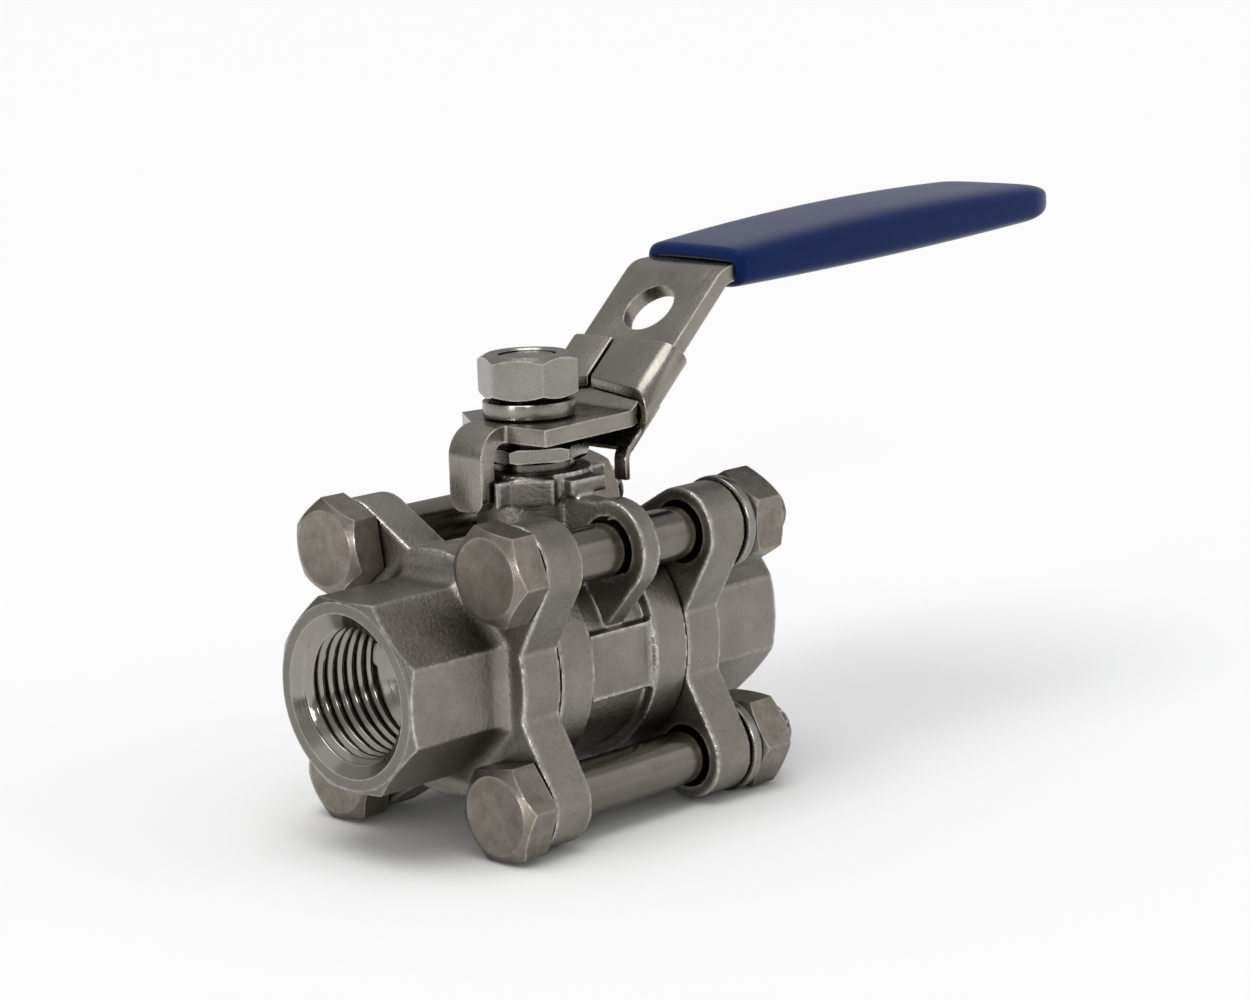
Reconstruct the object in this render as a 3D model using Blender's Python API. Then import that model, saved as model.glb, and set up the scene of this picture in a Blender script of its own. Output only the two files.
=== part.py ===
"""Three-piece screwed-end ball valve with a locking lever, in metres.

The origin is the centre of the ball. The flow runs along X, the stem stands along +Z and the lever arm lies
over +X, which is the open position. The bolt heads are on the -X side.
"""

import math

import bmesh
import bpy
from mathutils import Vector

MM = 0.001

# Clearances
SEAT_GAP = 0.25 * MM  # between faces that are clamped together
RUN_GAP = 0.3 * MM  # round pieces that turn or slide
JOINT_GAP = 0.4 * MM  # left open between the body and each end

# Threaded ends
FACE_TO_FACE = 75.0 * MM
PORT_BORE = 15.0 * MM
THREAD_MAJOR = 20.95 * MM
THREAD_MINOR = 18.63 * MM
THREAD_PITCH = 1.814 * MM
THREAD_TURNS = 7
MOUTH_BORE = 23.8 * MM
MOUTH_DEPTH = 1.8 * MM
END_FLATS = 27.1 * MM
END_SIDES = 8
END_ROUNDING = 1.3 * MM  # length over which the eight corners are turned off
END_FILLET = 3.6 * MM

# Bolted joint
BOLT_SPACING = 33.7 * MM
BOLT_SIZE = 7.9 * MM
BOLT_LENGTH = 53.5 * MM
BOLT_HOLE = 9.4 * MM
HEX_FLATS = 13.0 * MM
HEAD_HEIGHT = 5.3 * MM
NUT_HEIGHT = 6.5 * MM
TIE_WASHER_ROUND = 14.0 * MM
TIE_WASHER_HEIGHT = 1.6 * MM
FLANGE_ROUND = 36.0 * MM
FLANGE_THICKNESS = 6.95 * MM
EAR_RADIUS = 6.5 * MM
EAR_EDGE_ANGLE = 75.0  # degrees from an ear's axis to the normal of its straight edge
HEAD_TURNS = {(1, 1): 21.0, (-1, 1): 8.6, (-1, -1): 0.0, (1, -1): 0.0}
NUT_TURNS = {(1, 1): 12.0, (-1, 1): 30.0, (-1, -1): 0.0, (1, -1): 0.0}

# Body
BODY_LENGTH = 25.8 * MM
BODY_ROUND = 36.0 * MM
BODY_RING = 6.6 * MM
BARREL_ROUND = 32.6 * MM
PAD_HEIGHT = 9.8 * MM
PAD_ACROSS = 33.7 * MM
BODY_EAR_RADIUS = 7.0 * MM
BODY_EAR_THICKNESS = 3.5 * MM
WEB_TOP_DROP = 0.35 * MM  # below the top of the ear
BALL_ROUND = 24.8 * MM
BALL_CLEARANCE = 0.6 * MM  # from the ball to the chamber wall
GASKET_WIDTH = 1.4 * MM
GASKET_DEPTH = 1.1 * MM
SEAT_REACH = 5.1 * MM  # length of a seat along the flow
SEAT_SETBACK = 6.6 * MM  # from the end of the ball to the front of a seat

# Stem, packing and gland
STEM_ROUND = 10.0 * MM
STEM_TOP_ROUND = 8.0 * MM
STEM_FLATS = 6.0 * MM
TANG_WIDTH = 4.6 * MM
TANG_LENGTH = 8.8 * MM
SLOT_DEPTH = 3.2 * MM
COLLAR_ROUND = 12.8 * MM
COLLAR_HEIGHT = 2.0 * MM
THRUST_HEIGHT = 1.0 * MM
LEDGE_HEIGHT = 2.6 * MM
PACKING_WIDTH = 1.6 * MM
PACKING_HEIGHT = 1.75 * MM
NECK_WALL = 1.6 * MM
GLAND_INSIDE = 1.7 * MM
GLAND_OUTSIDE = 1.2 * MM
STEM_NUT_FLATS = 15.0 * MM
STEM_NUT_HEIGHT = 2.1 * MM
LEVER_LIFT = 1.2 * MM  # from the stem nut to the lever

# Stop flange on the neck
BOSS_WALL = 0.7 * MM  # outside the neck
STOP_DROP = 0.45 * MM  # below the top of the boss
STOP_THICKNESS = 3.9 * MM
STOP_FLAT = 9.5 * MM  # from the stem axis to the flat of a stop block
STOP_FLAT_WIDTH = 6.7 * MM
STOP_GAP = 0.35 * MM
STOP_OVERLAP = 0.7 * MM  # how far a stop reaches across the tab
STOP_FINGER = 1.0 * MM
LUG_REACH = 10.9 * MM
LUG_WIDTH = 6.8 * MM
LUG_SHIFT = 1.1 * MM  # towards the arm
LUG_DROP = 0.4 * MM  # below the top of the stops
LUG_THICKNESS = 2.3 * MM

# Lever
LEVER_THICKNESS = 2.5 * MM
TAB_INSIDE = 10.6 * MM  # from the stem axis to the inside of the tab
TAB_WIDTH = 6.8 * MM
TAB_DROP = 9.7 * MM  # below the underside of the lever
HUB_SIDE = 1.6 * MM  # by which the hub is wider than the arm on each side
HUB_NEAR_CORNER = -7.7 * MM
HUB_FAR_CORNER = -3.0 * MM
ARM_WIDTH = 19.0 * MM
ARM_START = 12.2 * MM  # where the middle of the plate would meet the middle of the arm
ARM_ANGLE = 42.5  # degrees
ARM_RISE = 18.8 * MM
HANDLE_ANGLE = 2.9  # degrees
HANDLE_END = 114.7 * MM
LEVER_BEND = 4.25 * MM  # to the middle of the strip
TAB_BEND = 3.4 * MM
LOCK_HOLE = 8.6 * MM
LOCK_HOLE_PLACE = 19.5 * MM  # up the arm from the bend
WASHER_ROUND = 13.5 * MM
WASHER_HEIGHT = 2.3 * MM
WASHER_SPLIT = 1.0 * MM
LEVER_NUT_HEIGHT = 6.5 * MM

# Grip
GRIP_START = 35.6 * MM
GRIP_SKIN = 2.6 * MM  # beyond the end of the lever
GRIP_MOUTH = (21.6 * MM, 7.0 * MM, 0.9 * MM)  # width, thickness, and how far its middle is above the strip
GRIP_MIDDLE = (23.2 * MM, 8.2 * MM, 0.8 * MM)
GRIP_TAIL = (22.6 * MM, 6.4 * MM, 0.2 * MM)
GRIP_CORNER = 10.6 * MM
MOUTH_SKEW = 1.1 * MM  # the far side of the mouth starts this much later than the middle

# Sliding lock
SHEET = 1.2 * MM
SLIDE_TOP = 12.4 * MM  # up the arm from the bend
SLIDE_FOOT = 13.9 * MM  # from the stem axis to the lower edge, at the slit
SLIDE_SLANT = 1.0 * MM  # by which the lower edge drops towards the sides
SLIDE_SLIT = 1.4 * MM  # off the middle of the arm
SLIT_WIDTH = 0.7 * MM
LEG_INSIDE = 9.3 * MM  # from the stem axis to the legs
LEG_NEAR = 7.6 * MM
LEG_FAR = 10.0 * MM
LEG_LIFT = 0.35 * MM  # above the top of the body ear
TAIL_LIFT = 1.6 * MM  # from the neck to the plate between the legs

# Derived distances along the flow
BODY_FACE = BODY_LENGTH / 2
FLANGE_BACK = BODY_FACE + JOINT_GAP
FLANGE_FRONT = FLANGE_BACK + FLANGE_THICKNESS
END_FACE = FACE_TO_FACE / 2
BOLT_OFFSET = BOLT_SPACING / 2
HEAD_SEAT = FLANGE_FRONT + SEAT_GAP
CHAMBER_RADIUS = BALL_ROUND / 2 + BALL_CLEARANCE
GASKET_FLOOR = BODY_FACE - GASKET_DEPTH - SEAT_GAP + JOINT_GAP - SEAT_GAP
SEAT_FRONT = BALL_ROUND / 2 - SEAT_SETBACK
SEAT_BACK = SEAT_FRONT + SEAT_REACH
SPIGOT_END = SEAT_BACK + RUN_GAP

# Derived heights
SLOT_FLOOR = BALL_ROUND / 2 - SLOT_DEPTH
COLLAR_FOOT = BALL_ROUND / 2 + 0.5 * MM
COLLAR_TOP = COLLAR_FOOT + COLLAR_HEIGHT
THRUST_FOOT = COLLAR_TOP + SEAT_GAP
THRUST_CEILING = THRUST_FOOT + THRUST_HEIGHT + SEAT_GAP
PACKING_FLOOR = THRUST_CEILING + LEDGE_HEIGHT
PACKING_STEP = PACKING_HEIGHT + SEAT_GAP
GLAND_FOOT = PACKING_FLOOR + SEAT_GAP + 3 * PACKING_STEP
BOSS_TOP = GLAND_FOOT + GLAND_INSIDE
GLAND_TOP = BOSS_TOP + GLAND_OUTSIDE
STEM_NUT_FOOT = GLAND_TOP + SEAT_GAP
LEVER_FOOT = STEM_NUT_FOOT + STEM_NUT_HEIGHT + LEVER_LIFT
LEVER_TOP = LEVER_FOOT + LEVER_THICKNESS
WASHER_FOOT = LEVER_TOP + SEAT_GAP
LEVER_NUT_FOOT = WASHER_FOOT + WASHER_HEIGHT + SEAT_GAP
STEM_TOP = LEVER_NUT_FOOT + LEVER_NUT_HEIGHT - 0.3 * MM
STOP_TOP = BOSS_TOP - STOP_DROP
PACKING_RADIUS = STEM_ROUND / 2 + PACKING_WIDTH
NECK_RADIUS = PACKING_RADIUS + NECK_WALL
EAR_TOP = BOLT_OFFSET + BODY_EAR_RADIUS

# Derived lever frame: the arm runs up `ARM` from the bend, with `ARM_OUT` square to its upper side
ARM = Vector((math.cos(math.radians(ARM_ANGLE)), 0, math.sin(math.radians(ARM_ANGLE))))
ARM_OUT = Vector((-ARM.z, 0, ARM.x))
ARM_FOOT = Vector((ARM_START, 0, LEVER_TOP - LEVER_THICKNESS / 2)) + ARM_OUT * (LEVER_THICKNESS / 2)
HUB_WIDTH = ARM_WIDTH + 2 * HUB_SIDE
HANDLE_START = ARM_START + ARM_RISE / math.tan(math.radians(ARM_ANGLE))
HANDLE_HEIGHT = LEVER_TOP - LEVER_THICKNESS / 2 + ARM_RISE
HANDLE_SLOPE = math.tan(math.radians(HANDLE_ANGLE))


def material(name, colour, roughness, metallic):
    made = bpy.data.materials.new(name)
    made.use_nodes = True
    shader = made.node_tree.nodes["Principled BSDF"]
    shader.inputs["Base Color"].default_value = (*colour, 1)
    shader.inputs["Roughness"].default_value = roughness
    shader.inputs["Metallic"].default_value = metallic
    return made


def new_object(name, bm):
    """Turns a bmesh into an object, with its faces pointing outwards."""
    bmesh.ops.remove_doubles(bm, verts=bm.verts, dist=0.0005 * MM)
    bmesh.ops.recalc_face_normals(bm, faces=bm.faces)
    mesh = bpy.data.meshes.new(name)
    bm.to_mesh(mesh)
    bm.free()
    made = bpy.data.objects.new(name, mesh)
    bpy.context.scene.collection.objects.link(made)
    return made


def finish(obj, look, crease=35):
    """Gives an object its material, and shades it smooth up to a crease angle in degrees."""
    obj.data.materials.append(look)
    obj.data.shade_smooth()
    obj.data.set_sharp_from_angle(angle=math.radians(crease))
    return obj


def combine(obj, other, operation):
    """Adds, cuts or intersects with a helper shape, which stays out of renders."""
    step = obj.modifiers.new(other.name, "BOOLEAN")
    step.operation = operation
    step.solver = "EXACT"
    step.object = other
    other.hide_render = True
    other.display_type = "WIRE"


def value_at(number, angle):
    return number(angle) if callable(number) else number


def turned(name, profile, segments=32, axis="X", centre=(0, 0, 0), phase=0.0):
    """A solid swept round an axis from a closed profile of (along, radius) points.

    Either number may be a function of the angle, which makes hexagons and thread-like shapes.
    """
    bm = bmesh.new()
    middle = Vector(centre)
    rings = []
    for along, radius in profile:
        ring = []
        for index in range(segments):
            angle = phase + 2 * math.pi * index / segments
            r = value_at(radius, angle)
            a = value_at(along, angle)
            across = (r * math.cos(angle), r * math.sin(angle))
            spot = Vector((a, *across)) if axis == "X" else Vector((*across, a))
            ring.append(bm.verts.new(middle + spot))
            if r < 1e-9:
                break
        rings.append(ring)
    for first, second in zip(rings, rings[1:] + rings[:1]):
        join_rings(bm, first, second)
    return new_object(name, bm)


def join_rings(bm, first, second):
    """Fills the band between two rings, either of which may be a single point."""
    count = max(len(first), len(second))
    if count == 1:
        return
    for index in range(count):
        after = (index + 1) % count
        corners = [first[index % len(first)], first[after % len(first)]]
        corners += [second[after % len(second)], second[index % len(second)]]
        unique = list(dict.fromkeys(corners))
        bm.faces.new(unique)


def prism(name, outline, low, high, axis="X"):
    """A straight solid on an outline of (y, z) points along X, or (x, y) points along Z."""
    bm = bmesh.new()
    ends = []
    for along in (low, high):
        spots = [(along, *p) if axis == "X" else (*p, along) for p in outline]
        ends.append([bm.verts.new(spot) for spot in spots])
    join_rings(bm, *ends)
    bm.faces.new(ends[0])
    bm.faces.new(ends[1])
    return new_object(name, bm)


def box(name, low, high):
    outline = [(low[1], low[2]), (high[1], low[2]), (high[1], high[2]), (low[1], high[2])]
    return prism(name, outline, low[0], high[0])


def hex_radius(flats, turn):
    """Radius of a hexagon as a function of the angle. At turn 0 a corner points along the first axis."""
    sixth = math.pi / 3

    def radius(angle):
        return flats / 2 / math.cos((angle - math.radians(turn)) % sixth - sixth / 2)

    return radius


def hex_face(flats, turn, end, inward):
    """The along value of a hexagon's rim, which a 30 degree chamfer lowers towards the corners."""
    radius = hex_radius(flats, turn)
    start = flats / 2 * 0.95

    def along(angle):
        return end + inward * (radius(angle) - start) * math.tan(math.radians(30))

    return along


def hex_solid(name, flats, turn, low, high, bore, axis="X", centre=(0, 0, 0)):
    """A hexagon nut, chamfered at both ends."""
    radius = hex_radius(flats, turn)
    rim = flats / 2 * 0.95
    profile = [
        (low, bore),
        (low, rim),
        (hex_face(flats, turn, low, 1), radius),
        (hex_face(flats, turn, high, -1), radius),
        (high, rim),
        (high, bore),
    ]
    return turned(name, profile, 24, axis, centre, math.radians(turn))


def thread_radius(part):
    """Radius of the female thread at a part of its pitch: a sharp root and a flat crest."""
    major = THREAD_MAJOR / 2
    depth = (THREAD_MAJOR - THREAD_MINOR) / 2
    return major - depth * min(1.0, min(part, 1 - part) / 0.4)


def socket_cutter(name, inward):
    """The flow way of an end: countersink, helical thread and port, open beyond both ends."""
    segments = 24
    start = END_FACE - MOUTH_DEPTH
    length = THREAD_TURNS * THREAD_PITCH
    parts = (0.0, 0.4, 0.6)
    bm = bmesh.new()

    def spot(depth, radius, column):
        angle = 2 * math.pi * column / segments
        along = inward * (start - depth)
        return bm.verts.new((along, radius * math.cos(angle), inward * radius * math.sin(angle)))

    def thread_spot(turns, column):
        depth = min(max(turns * THREAD_PITCH, 0.0), length)
        part = (depth / THREAD_PITCH - column / segments) % 1.0
        return spot(depth, thread_radius(part), column)

    columns = []
    for column in range(segments):
        steps = [turn + part for turn in range(-2, THREAD_TURNS + 2) for part in parts]
        columns.append([thread_spot(step + column / segments, column) for step in steps])
    for column in range(segments):
        after = (column + 1) % segments
        shift = len(parts) if after == 0 else 0
        for index in range(len(columns[0]) - 1 - shift):
            here = columns[column][index : index + 2]
            there = columns[after][index + shift : index + shift + 2]
            bm.faces.new((here[0], there[0], there[1], here[1]))
    throat = THREAD_MAJOR / 2 + 0.03 * MM
    mouth = (-MOUTH_DEPTH * 1.4, throat + (MOUTH_BORE / 2 - throat) * 1.4)
    port = (length + (THREAD_MINOR - PORT_BORE) / 2, PORT_BORE / 2)
    ends = (((0, throat), mouth), (port, (start - SPIGOT_END + 2 * MM, PORT_BORE / 2)))
    for turns, rings in zip((-1, THREAD_TURNS + 1), ends):
        last = [thread_spot(turns, column) for column in range(segments)]
        for depth, radius in rings:
            ring = [spot(depth, radius, column) for column in range(segments)]
            join_rings(bm, last, ring)
            last = ring
        bm.faces.new(last)
    return new_object(name, bm)


def flange_outline(steps=5):
    """A disc with four ears, whose straight edges run into the disc."""
    reach = math.hypot(BOLT_OFFSET, BOLT_OFFSET)
    edge = math.radians(EAR_EDGE_ANGLE)
    disc = FLANGE_ROUND / 2
    meeting = edge - math.acos((reach * math.cos(edge) + EAR_RADIUS) / disc)
    points = []
    for quarter in range(4):
        axis = math.pi / 4 + quarter * math.pi / 2
        first = axis - math.pi / 2 + meeting
        for step in range(steps):
            angle = first + (axis - meeting - first) * step / (steps - 1)
            points.append((disc * math.cos(angle), disc * math.sin(angle)))
        ear = (reach * math.cos(axis), reach * math.sin(axis))
        for step in range(2 * steps - 1):
            angle = axis - edge + 2 * edge * step / (2 * steps - 2)
            points.append((ear[0] + EAR_RADIUS * math.cos(angle), ear[1] + EAR_RADIUS * math.sin(angle)))
    return points


def end_cap(name, inward, look):
    """An end piece: an eight-sided threaded socket that flares into an eared flange."""
    widen = 1 / math.cos(math.pi / END_SIDES)
    flat = END_FLATS / 2
    root = inward * (FLANGE_BACK + 2 * MM)
    socket = [(root, 0), (root, (flat + END_FILLET) * widen)]
    for step in range(6):
        angle = math.pi / 2 * step / 5
        along = FLANGE_FRONT + END_FILLET * (1 - math.cos(angle)) - 0.05 * MM
        socket.append((inward * along, (flat + END_FILLET * (1 - math.sin(angle))) * widen))
    socket += [(inward * END_FACE, flat * widen), (inward * END_FACE, 0)]
    cap = turned(name, socket, END_SIDES, phase=math.pi / END_SIDES)

    corner = flat * widen + 0.5 * MM
    rim = flat - 0.15 * MM
    slope = (corner - rim) / END_ROUNDING
    clear = FLANGE_FRONT + END_FILLET + 1 * MM
    envelope = [
        (0, 0),
        (0, FLANGE_ROUND),
        (inward * clear, FLANGE_ROUND),
        (inward * clear, corner),
        (inward * (END_FACE - END_ROUNDING), corner),
        (inward * (END_FACE + 1 * MM), rim - slope * MM),
        (inward * (END_FACE + 1 * MM), 0),
    ]
    combine(cap, turned(name + "_rounding", envelope, 32, phase=0.05), "INTERSECT")

    plate = prism(name + "_flange", flange_outline(), inward * FLANGE_BACK, inward * FLANGE_FRONT)
    combine(cap, plate, "UNION")
    spigot_radius = CHAMBER_RADIUS - RUN_GAP
    spigot = [
        (inward * SPIGOT_END, 0),
        (inward * SPIGOT_END, spigot_radius),
        (inward * (FLANGE_BACK + 1 * MM), spigot_radius),
        (inward * (FLANGE_BACK + 1 * MM), 0),
    ]
    combine(cap, turned(name + "_spigot", spigot, 32), "UNION")
    combine(cap, socket_cutter(name + "_socket", inward), "DIFFERENCE")
    for y, z in HEAD_TURNS:
        ends = (inward * (FLANGE_BACK - 1 * MM), inward * (FLANGE_FRONT + 1 * MM))
        combine(cap, bolt_hole(f"{name}_hole_{y}_{z}", y, z, *ends), "DIFFERENCE")
    return finish(cap, look)


def bolt_hole(name, y, z, low, high):
    profile = [(low, 0), (low, BOLT_HOLE / 2), (high, BOLT_HOLE / 2), (high, 0)]
    return turned(name, profile, 20, "X", (0, y * BOLT_OFFSET, z * BOLT_OFFSET))


def stop_block():
    """Outline, seen from above, of the stop beside the tab when the valve is open."""
    side = -TAB_WIDTH / 2 - STOP_GAP
    reach = -TAB_INSIDE - STOP_OVERLAP
    across = STOP_FLAT / math.sqrt(2)
    half = STOP_FLAT_WIDTH / 2 / math.sqrt(2)
    outer = side - STOP_FINGER
    flat_start = -2 * across - outer
    return [
        (-NECK_RADIUS / 2, side),
        (reach, side),
        (reach, outer),
        (flat_start, outer),
        (-across + half, -across - half),
        (-NECK_RADIUS / 4, -NECK_RADIUS * 0.9),
    ]


def body(look):
    """The middle casting: barrel, rings, neck, stop flange and an ear round one upper bolt."""
    ring = BODY_FACE - BODY_RING
    edge = 0.4 * MM
    profile = [
        (-BODY_FACE, 0),
        (-BODY_FACE, BODY_ROUND / 2 - edge),
        (-BODY_FACE + edge, BODY_ROUND / 2),
        (-ring, BODY_ROUND / 2),
        (-ring, BARREL_ROUND / 2),
        (ring, BARREL_ROUND / 2),
        (ring, BODY_ROUND / 2),
        (BODY_FACE - edge, BODY_ROUND / 2),
        (BODY_FACE, BODY_ROUND / 2 - edge),
        (BODY_FACE, 0),
    ]
    casting = turned("body", profile, 40)

    reach = ring + 0.5 * MM
    depth = CHAMBER_RADIUS + 1 * MM
    low = (-reach, -PAD_ACROSS / 2, -PAD_HEIGHT / 2)
    combine(casting, box("pad_near", low, (reach, -depth + 2 * MM, PAD_HEIGHT / 2)), "UNION")
    high = (reach, PAD_ACROSS / 2, PAD_HEIGHT / 2)
    combine(casting, box("pad_far", (-reach, depth - 2 * MM, -PAD_HEIGHT / 2), high), "UNION")

    half = BODY_EAR_THICKNESS / 2
    lean = math.radians(-42.5)
    tangent = BOLT_OFFSET + BODY_EAR_RADIUS * math.cos(lean), BOLT_OFFSET + BODY_EAR_RADIUS * math.sin(lean)
    foot = BARREL_ROUND / 2 - 0.4 * MM
    web_top = EAR_TOP - WEB_TOP_DROP
    web = [
        (NECK_RADIUS / 2, web_top),
        (BOLT_OFFSET, web_top),
        tangent,
        (foot * math.cos(math.radians(17)), foot * math.sin(math.radians(17))),
        (NECK_RADIUS / 2, BARREL_ROUND / 2 - 2 * MM),
    ]
    ear = [(-half, 0), (-half, BODY_EAR_RADIUS), (half, BODY_EAR_RADIUS), (half, 0)]
    combine(casting, turned("ear", ear, 32, "X", (0, -BOLT_OFFSET, BOLT_OFFSET)), "UNION")
    inset = half - 0.03 * MM
    combine(casting, prism("web", [(-y, z) for y, z in web], -inset, inset), "UNION")

    boss_radius = NECK_RADIUS + BOSS_WALL
    stop_foot = STOP_TOP - STOP_THICKNESS
    neck = [
        (BALL_ROUND / 2 - 2 * MM, 0),
        (BALL_ROUND / 2 - 2 * MM, NECK_RADIUS),
        (stop_foot + 0.6 * MM, NECK_RADIUS),
        (stop_foot + 0.6 * MM, boss_radius),
        (BOSS_TOP, boss_radius),
        (BOSS_TOP, 0),
    ]
    combine(casting, turned("neck", neck, 32, "Z"), "UNION")
    block = stop_block()
    combine(casting, prism("stop_open", block, stop_foot, STOP_TOP, "Z"), "UNION")
    mirrored = [(-y, -x) for x, y in block]
    combine(casting, prism("stop_closed", mirrored, stop_foot, STOP_TOP, "Z"), "UNION")
    lug_top = STOP_TOP - LUG_DROP
    lug_foot = lug_top - LUG_THICKNESS
    first, last = LUG_SHIFT - LUG_WIDTH / 2, LUG_SHIFT + LUG_WIDTH / 2
    root = NECK_RADIUS - 1 * MM
    combine(casting, box("lug_near", (first, -LUG_REACH, lug_foot), (last, -root, lug_top)), "UNION")
    combine(casting, box("lug_arm", (root, -last, lug_foot), (LUG_REACH, -first, lug_top)), "UNION")

    gasket_radius = CHAMBER_RADIUS + GASKET_WIDTH + 2 * RUN_GAP
    chamber = [
        (-BODY_FACE - 1 * MM, 0),
        (-BODY_FACE - 1 * MM, gasket_radius),
        (-GASKET_FLOOR, gasket_radius),
        (-GASKET_FLOOR, CHAMBER_RADIUS),
        (GASKET_FLOOR, CHAMBER_RADIUS),
        (GASKET_FLOOR, gasket_radius),
        (BODY_FACE + 1 * MM, gasket_radius),
        (BODY_FACE + 1 * MM, 0),
    ]
    combine(casting, turned("chamber", chamber, 32), "DIFFERENCE")
    stem_way = [
        (0, 0),
        (0, COLLAR_ROUND / 2 + RUN_GAP),
        (THRUST_CEILING, COLLAR_ROUND / 2 + RUN_GAP),
        (THRUST_CEILING, STEM_ROUND / 2 + RUN_GAP),
        (PACKING_FLOOR, STEM_ROUND / 2 + RUN_GAP),
        (PACKING_FLOOR, PACKING_RADIUS),
        (BOSS_TOP + 1 * MM, PACKING_RADIUS),
        (BOSS_TOP + 1 * MM, 0),
    ]
    combine(casting, turned("stem_way", stem_way, 32, "Z"), "DIFFERENCE")
    combine(casting, bolt_hole("ear_hole", -1, 1, -half - 1 * MM, half + 1 * MM), "DIFFERENCE")
    return finish(casting, look)


def ball(look):
    """Bored ball with a driving slot on top."""
    radius = BALL_ROUND / 2
    rows = 14
    arc = [math.pi * (row / rows - 0.5) for row in range(rows + 1)]
    profile = [(radius * math.sin(a), radius * math.cos(a)) for a in arc[1:-1]]
    profile = [(-radius, 0), *profile, (radius, 0)]
    sphere = turned("ball", profile, 28, "X")
    reach = radius + 1 * MM
    bore = [(-reach, 0), (-reach, PORT_BORE / 2), (reach, PORT_BORE / 2), (reach, 0)]
    combine(sphere, turned("ball_bore", bore, 28), "DIFFERENCE")
    half = TANG_WIDTH / 2 + RUN_GAP
    combine(sphere, box("ball_slot", (-half, -reach, SLOT_FLOOR), (half, reach, reach)), "DIFFERENCE")
    return finish(sphere, look)


def seat(name, side, look):
    """Sealing ring with a face that follows the ball."""
    outer = CHAMBER_RADIUS - RUN_GAP
    inner = PORT_BORE / 2 + RUN_GAP
    sphere = BALL_ROUND / 2 + SEAT_GAP
    first = math.asin(inner / sphere)
    last = math.acos(SEAT_FRONT / sphere)
    profile = [(side * SEAT_BACK, inner)]
    for step in range(5):
        angle = first + (last - first) * step / 4
        profile.append((side * sphere * math.cos(angle), sphere * math.sin(angle)))
    profile += [(side * SEAT_FRONT, outer), (side * SEAT_BACK, outer)]
    return finish(turned(name, profile, 32), look)


def ring_piece(name, inner, outer, low, high, look, axis="Z", segments=32):
    profile = [(low, inner), (low, outer), (high, outer), (high, inner)]
    return finish(turned(name, profile, segments, axis), look)


def stem(look):
    """Stem with a driving tang, a retaining collar and two flats for the lever."""
    shoulder = LEVER_FOOT - SEAT_GAP
    collar = COLLAR_ROUND / 2
    shaft = STEM_ROUND / 2
    top = STEM_TOP_ROUND / 2
    profile = [
        (COLLAR_FOOT, 0),
        (COLLAR_FOOT, collar),
        (COLLAR_TOP, collar),
        (COLLAR_TOP, shaft),
        (shoulder, shaft),
        (shoulder, top),
        (STEM_TOP - 0.6 * MM, top),
        (STEM_TOP, top - 0.6 * MM),
        (STEM_TOP, 0),
    ]
    rod = turned("stem", profile, 32, "Z")
    tang_foot = SLOT_FLOOR + RUN_GAP
    low = (-TANG_WIDTH / 2, -TANG_LENGTH / 2, tang_foot)
    high = (TANG_WIDTH / 2, TANG_LENGTH / 2, COLLAR_FOOT + 0.6 * MM)
    combine(rod, box("tang", low, high), "UNION")
    for side in (-1, 1):
        near, far = sorted((side * STEM_FLATS / 2, side * STEM_ROUND))
        flat = box(f"stem_flat_{side}", (-STEM_ROUND, near, shoulder), (STEM_ROUND, far, STEM_TOP + 1 * MM))
        combine(rod, flat, "DIFFERENCE")
    return finish(rod, look)


def bent_path(corners, bends, steps=5):
    """Points (x, z) along a path of straight runs joined by bends of the given radii."""
    points = [Vector(corners[0])]
    for before, corner, after, radius in zip(corners, corners[1:], corners[2:], bends):
        arriving = (Vector(corner) - Vector(before)).normalized()
        leaving = (Vector(after) - Vector(corner)).normalized()
        turn = arriving.angle_signed(leaving)
        trim = radius * math.tan(abs(turn) / 2)
        start = Vector(corner) - arriving * trim
        side = -1 if turn > 0 else 1
        middle = start + side * radius * Vector((-arriving.y, arriving.x))
        spoke = start - middle
        for step in range(steps + 1):
            angle = -turn * step / steps
            c, s = math.cos(angle), math.sin(angle)
            points.append(middle + Vector((spoke.x * c - spoke.y * s, spoke.x * s + spoke.y * c)))
    points.append(Vector(corners[-1]))
    return points


def strip(name, path, thickness, widths):
    """A sheet that follows a path in the XZ plane. `widths` gives its two side edges at a path point."""
    bm = bmesh.new()
    rings = []
    for index, here in enumerate(path):
        before = path[max(index - 1, 0)]
        after = path[min(index + 1, len(path) - 1)]
        runs = [(b - a).normalized() for a, b in ((before, here), (here, after)) if (b - a).length > 1e-9]
        heading = sum(runs, Vector((0, 0))).normalized()
        lean = 1 / max(0.5, heading.dot(runs[0]))
        out = Vector((-heading.y, heading.x)) * thickness / 2 * lean
        near, far = widths(here)
        ring = []
        for y, side in ((near, 1), (far, 1), (far, -1), (near, -1)):
            spot = here + out * side
            ring.append(bm.verts.new((spot.x, y, spot.y)))
        rings.append(ring)
    for first, second in zip(rings, rings[1:]):
        join_rings(bm, first, second)
    bm.faces.new(rings[0])
    bm.faces.new(rings[-1])
    return new_object(name, bm)


def split_at(path, places):
    """Adds path points at the given x, on the runs that cross them."""
    points = [path[0]]
    for here, there in zip(path, path[1:]):
        inside = [x for x in places if here.x + 0.02 * MM < x < there.x - 0.02 * MM]
        for x in sorted(inside):
            points.append(here.lerp(there, (x - here.x) / (there.x - here.x)))
        points.append(there)
    return points


def between(x, marks):
    """Straight-line interpolation in a list of (x, value) marks."""
    if x <= marks[0][0]:
        return marks[0][1]
    for (x0, v0), (x1, v1) in zip(marks, marks[1:]):
        if x <= x1:
            return v0 + (v1 - v0) * (x - x0) / (x1 - x0)
    return marks[-1][1]


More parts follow.
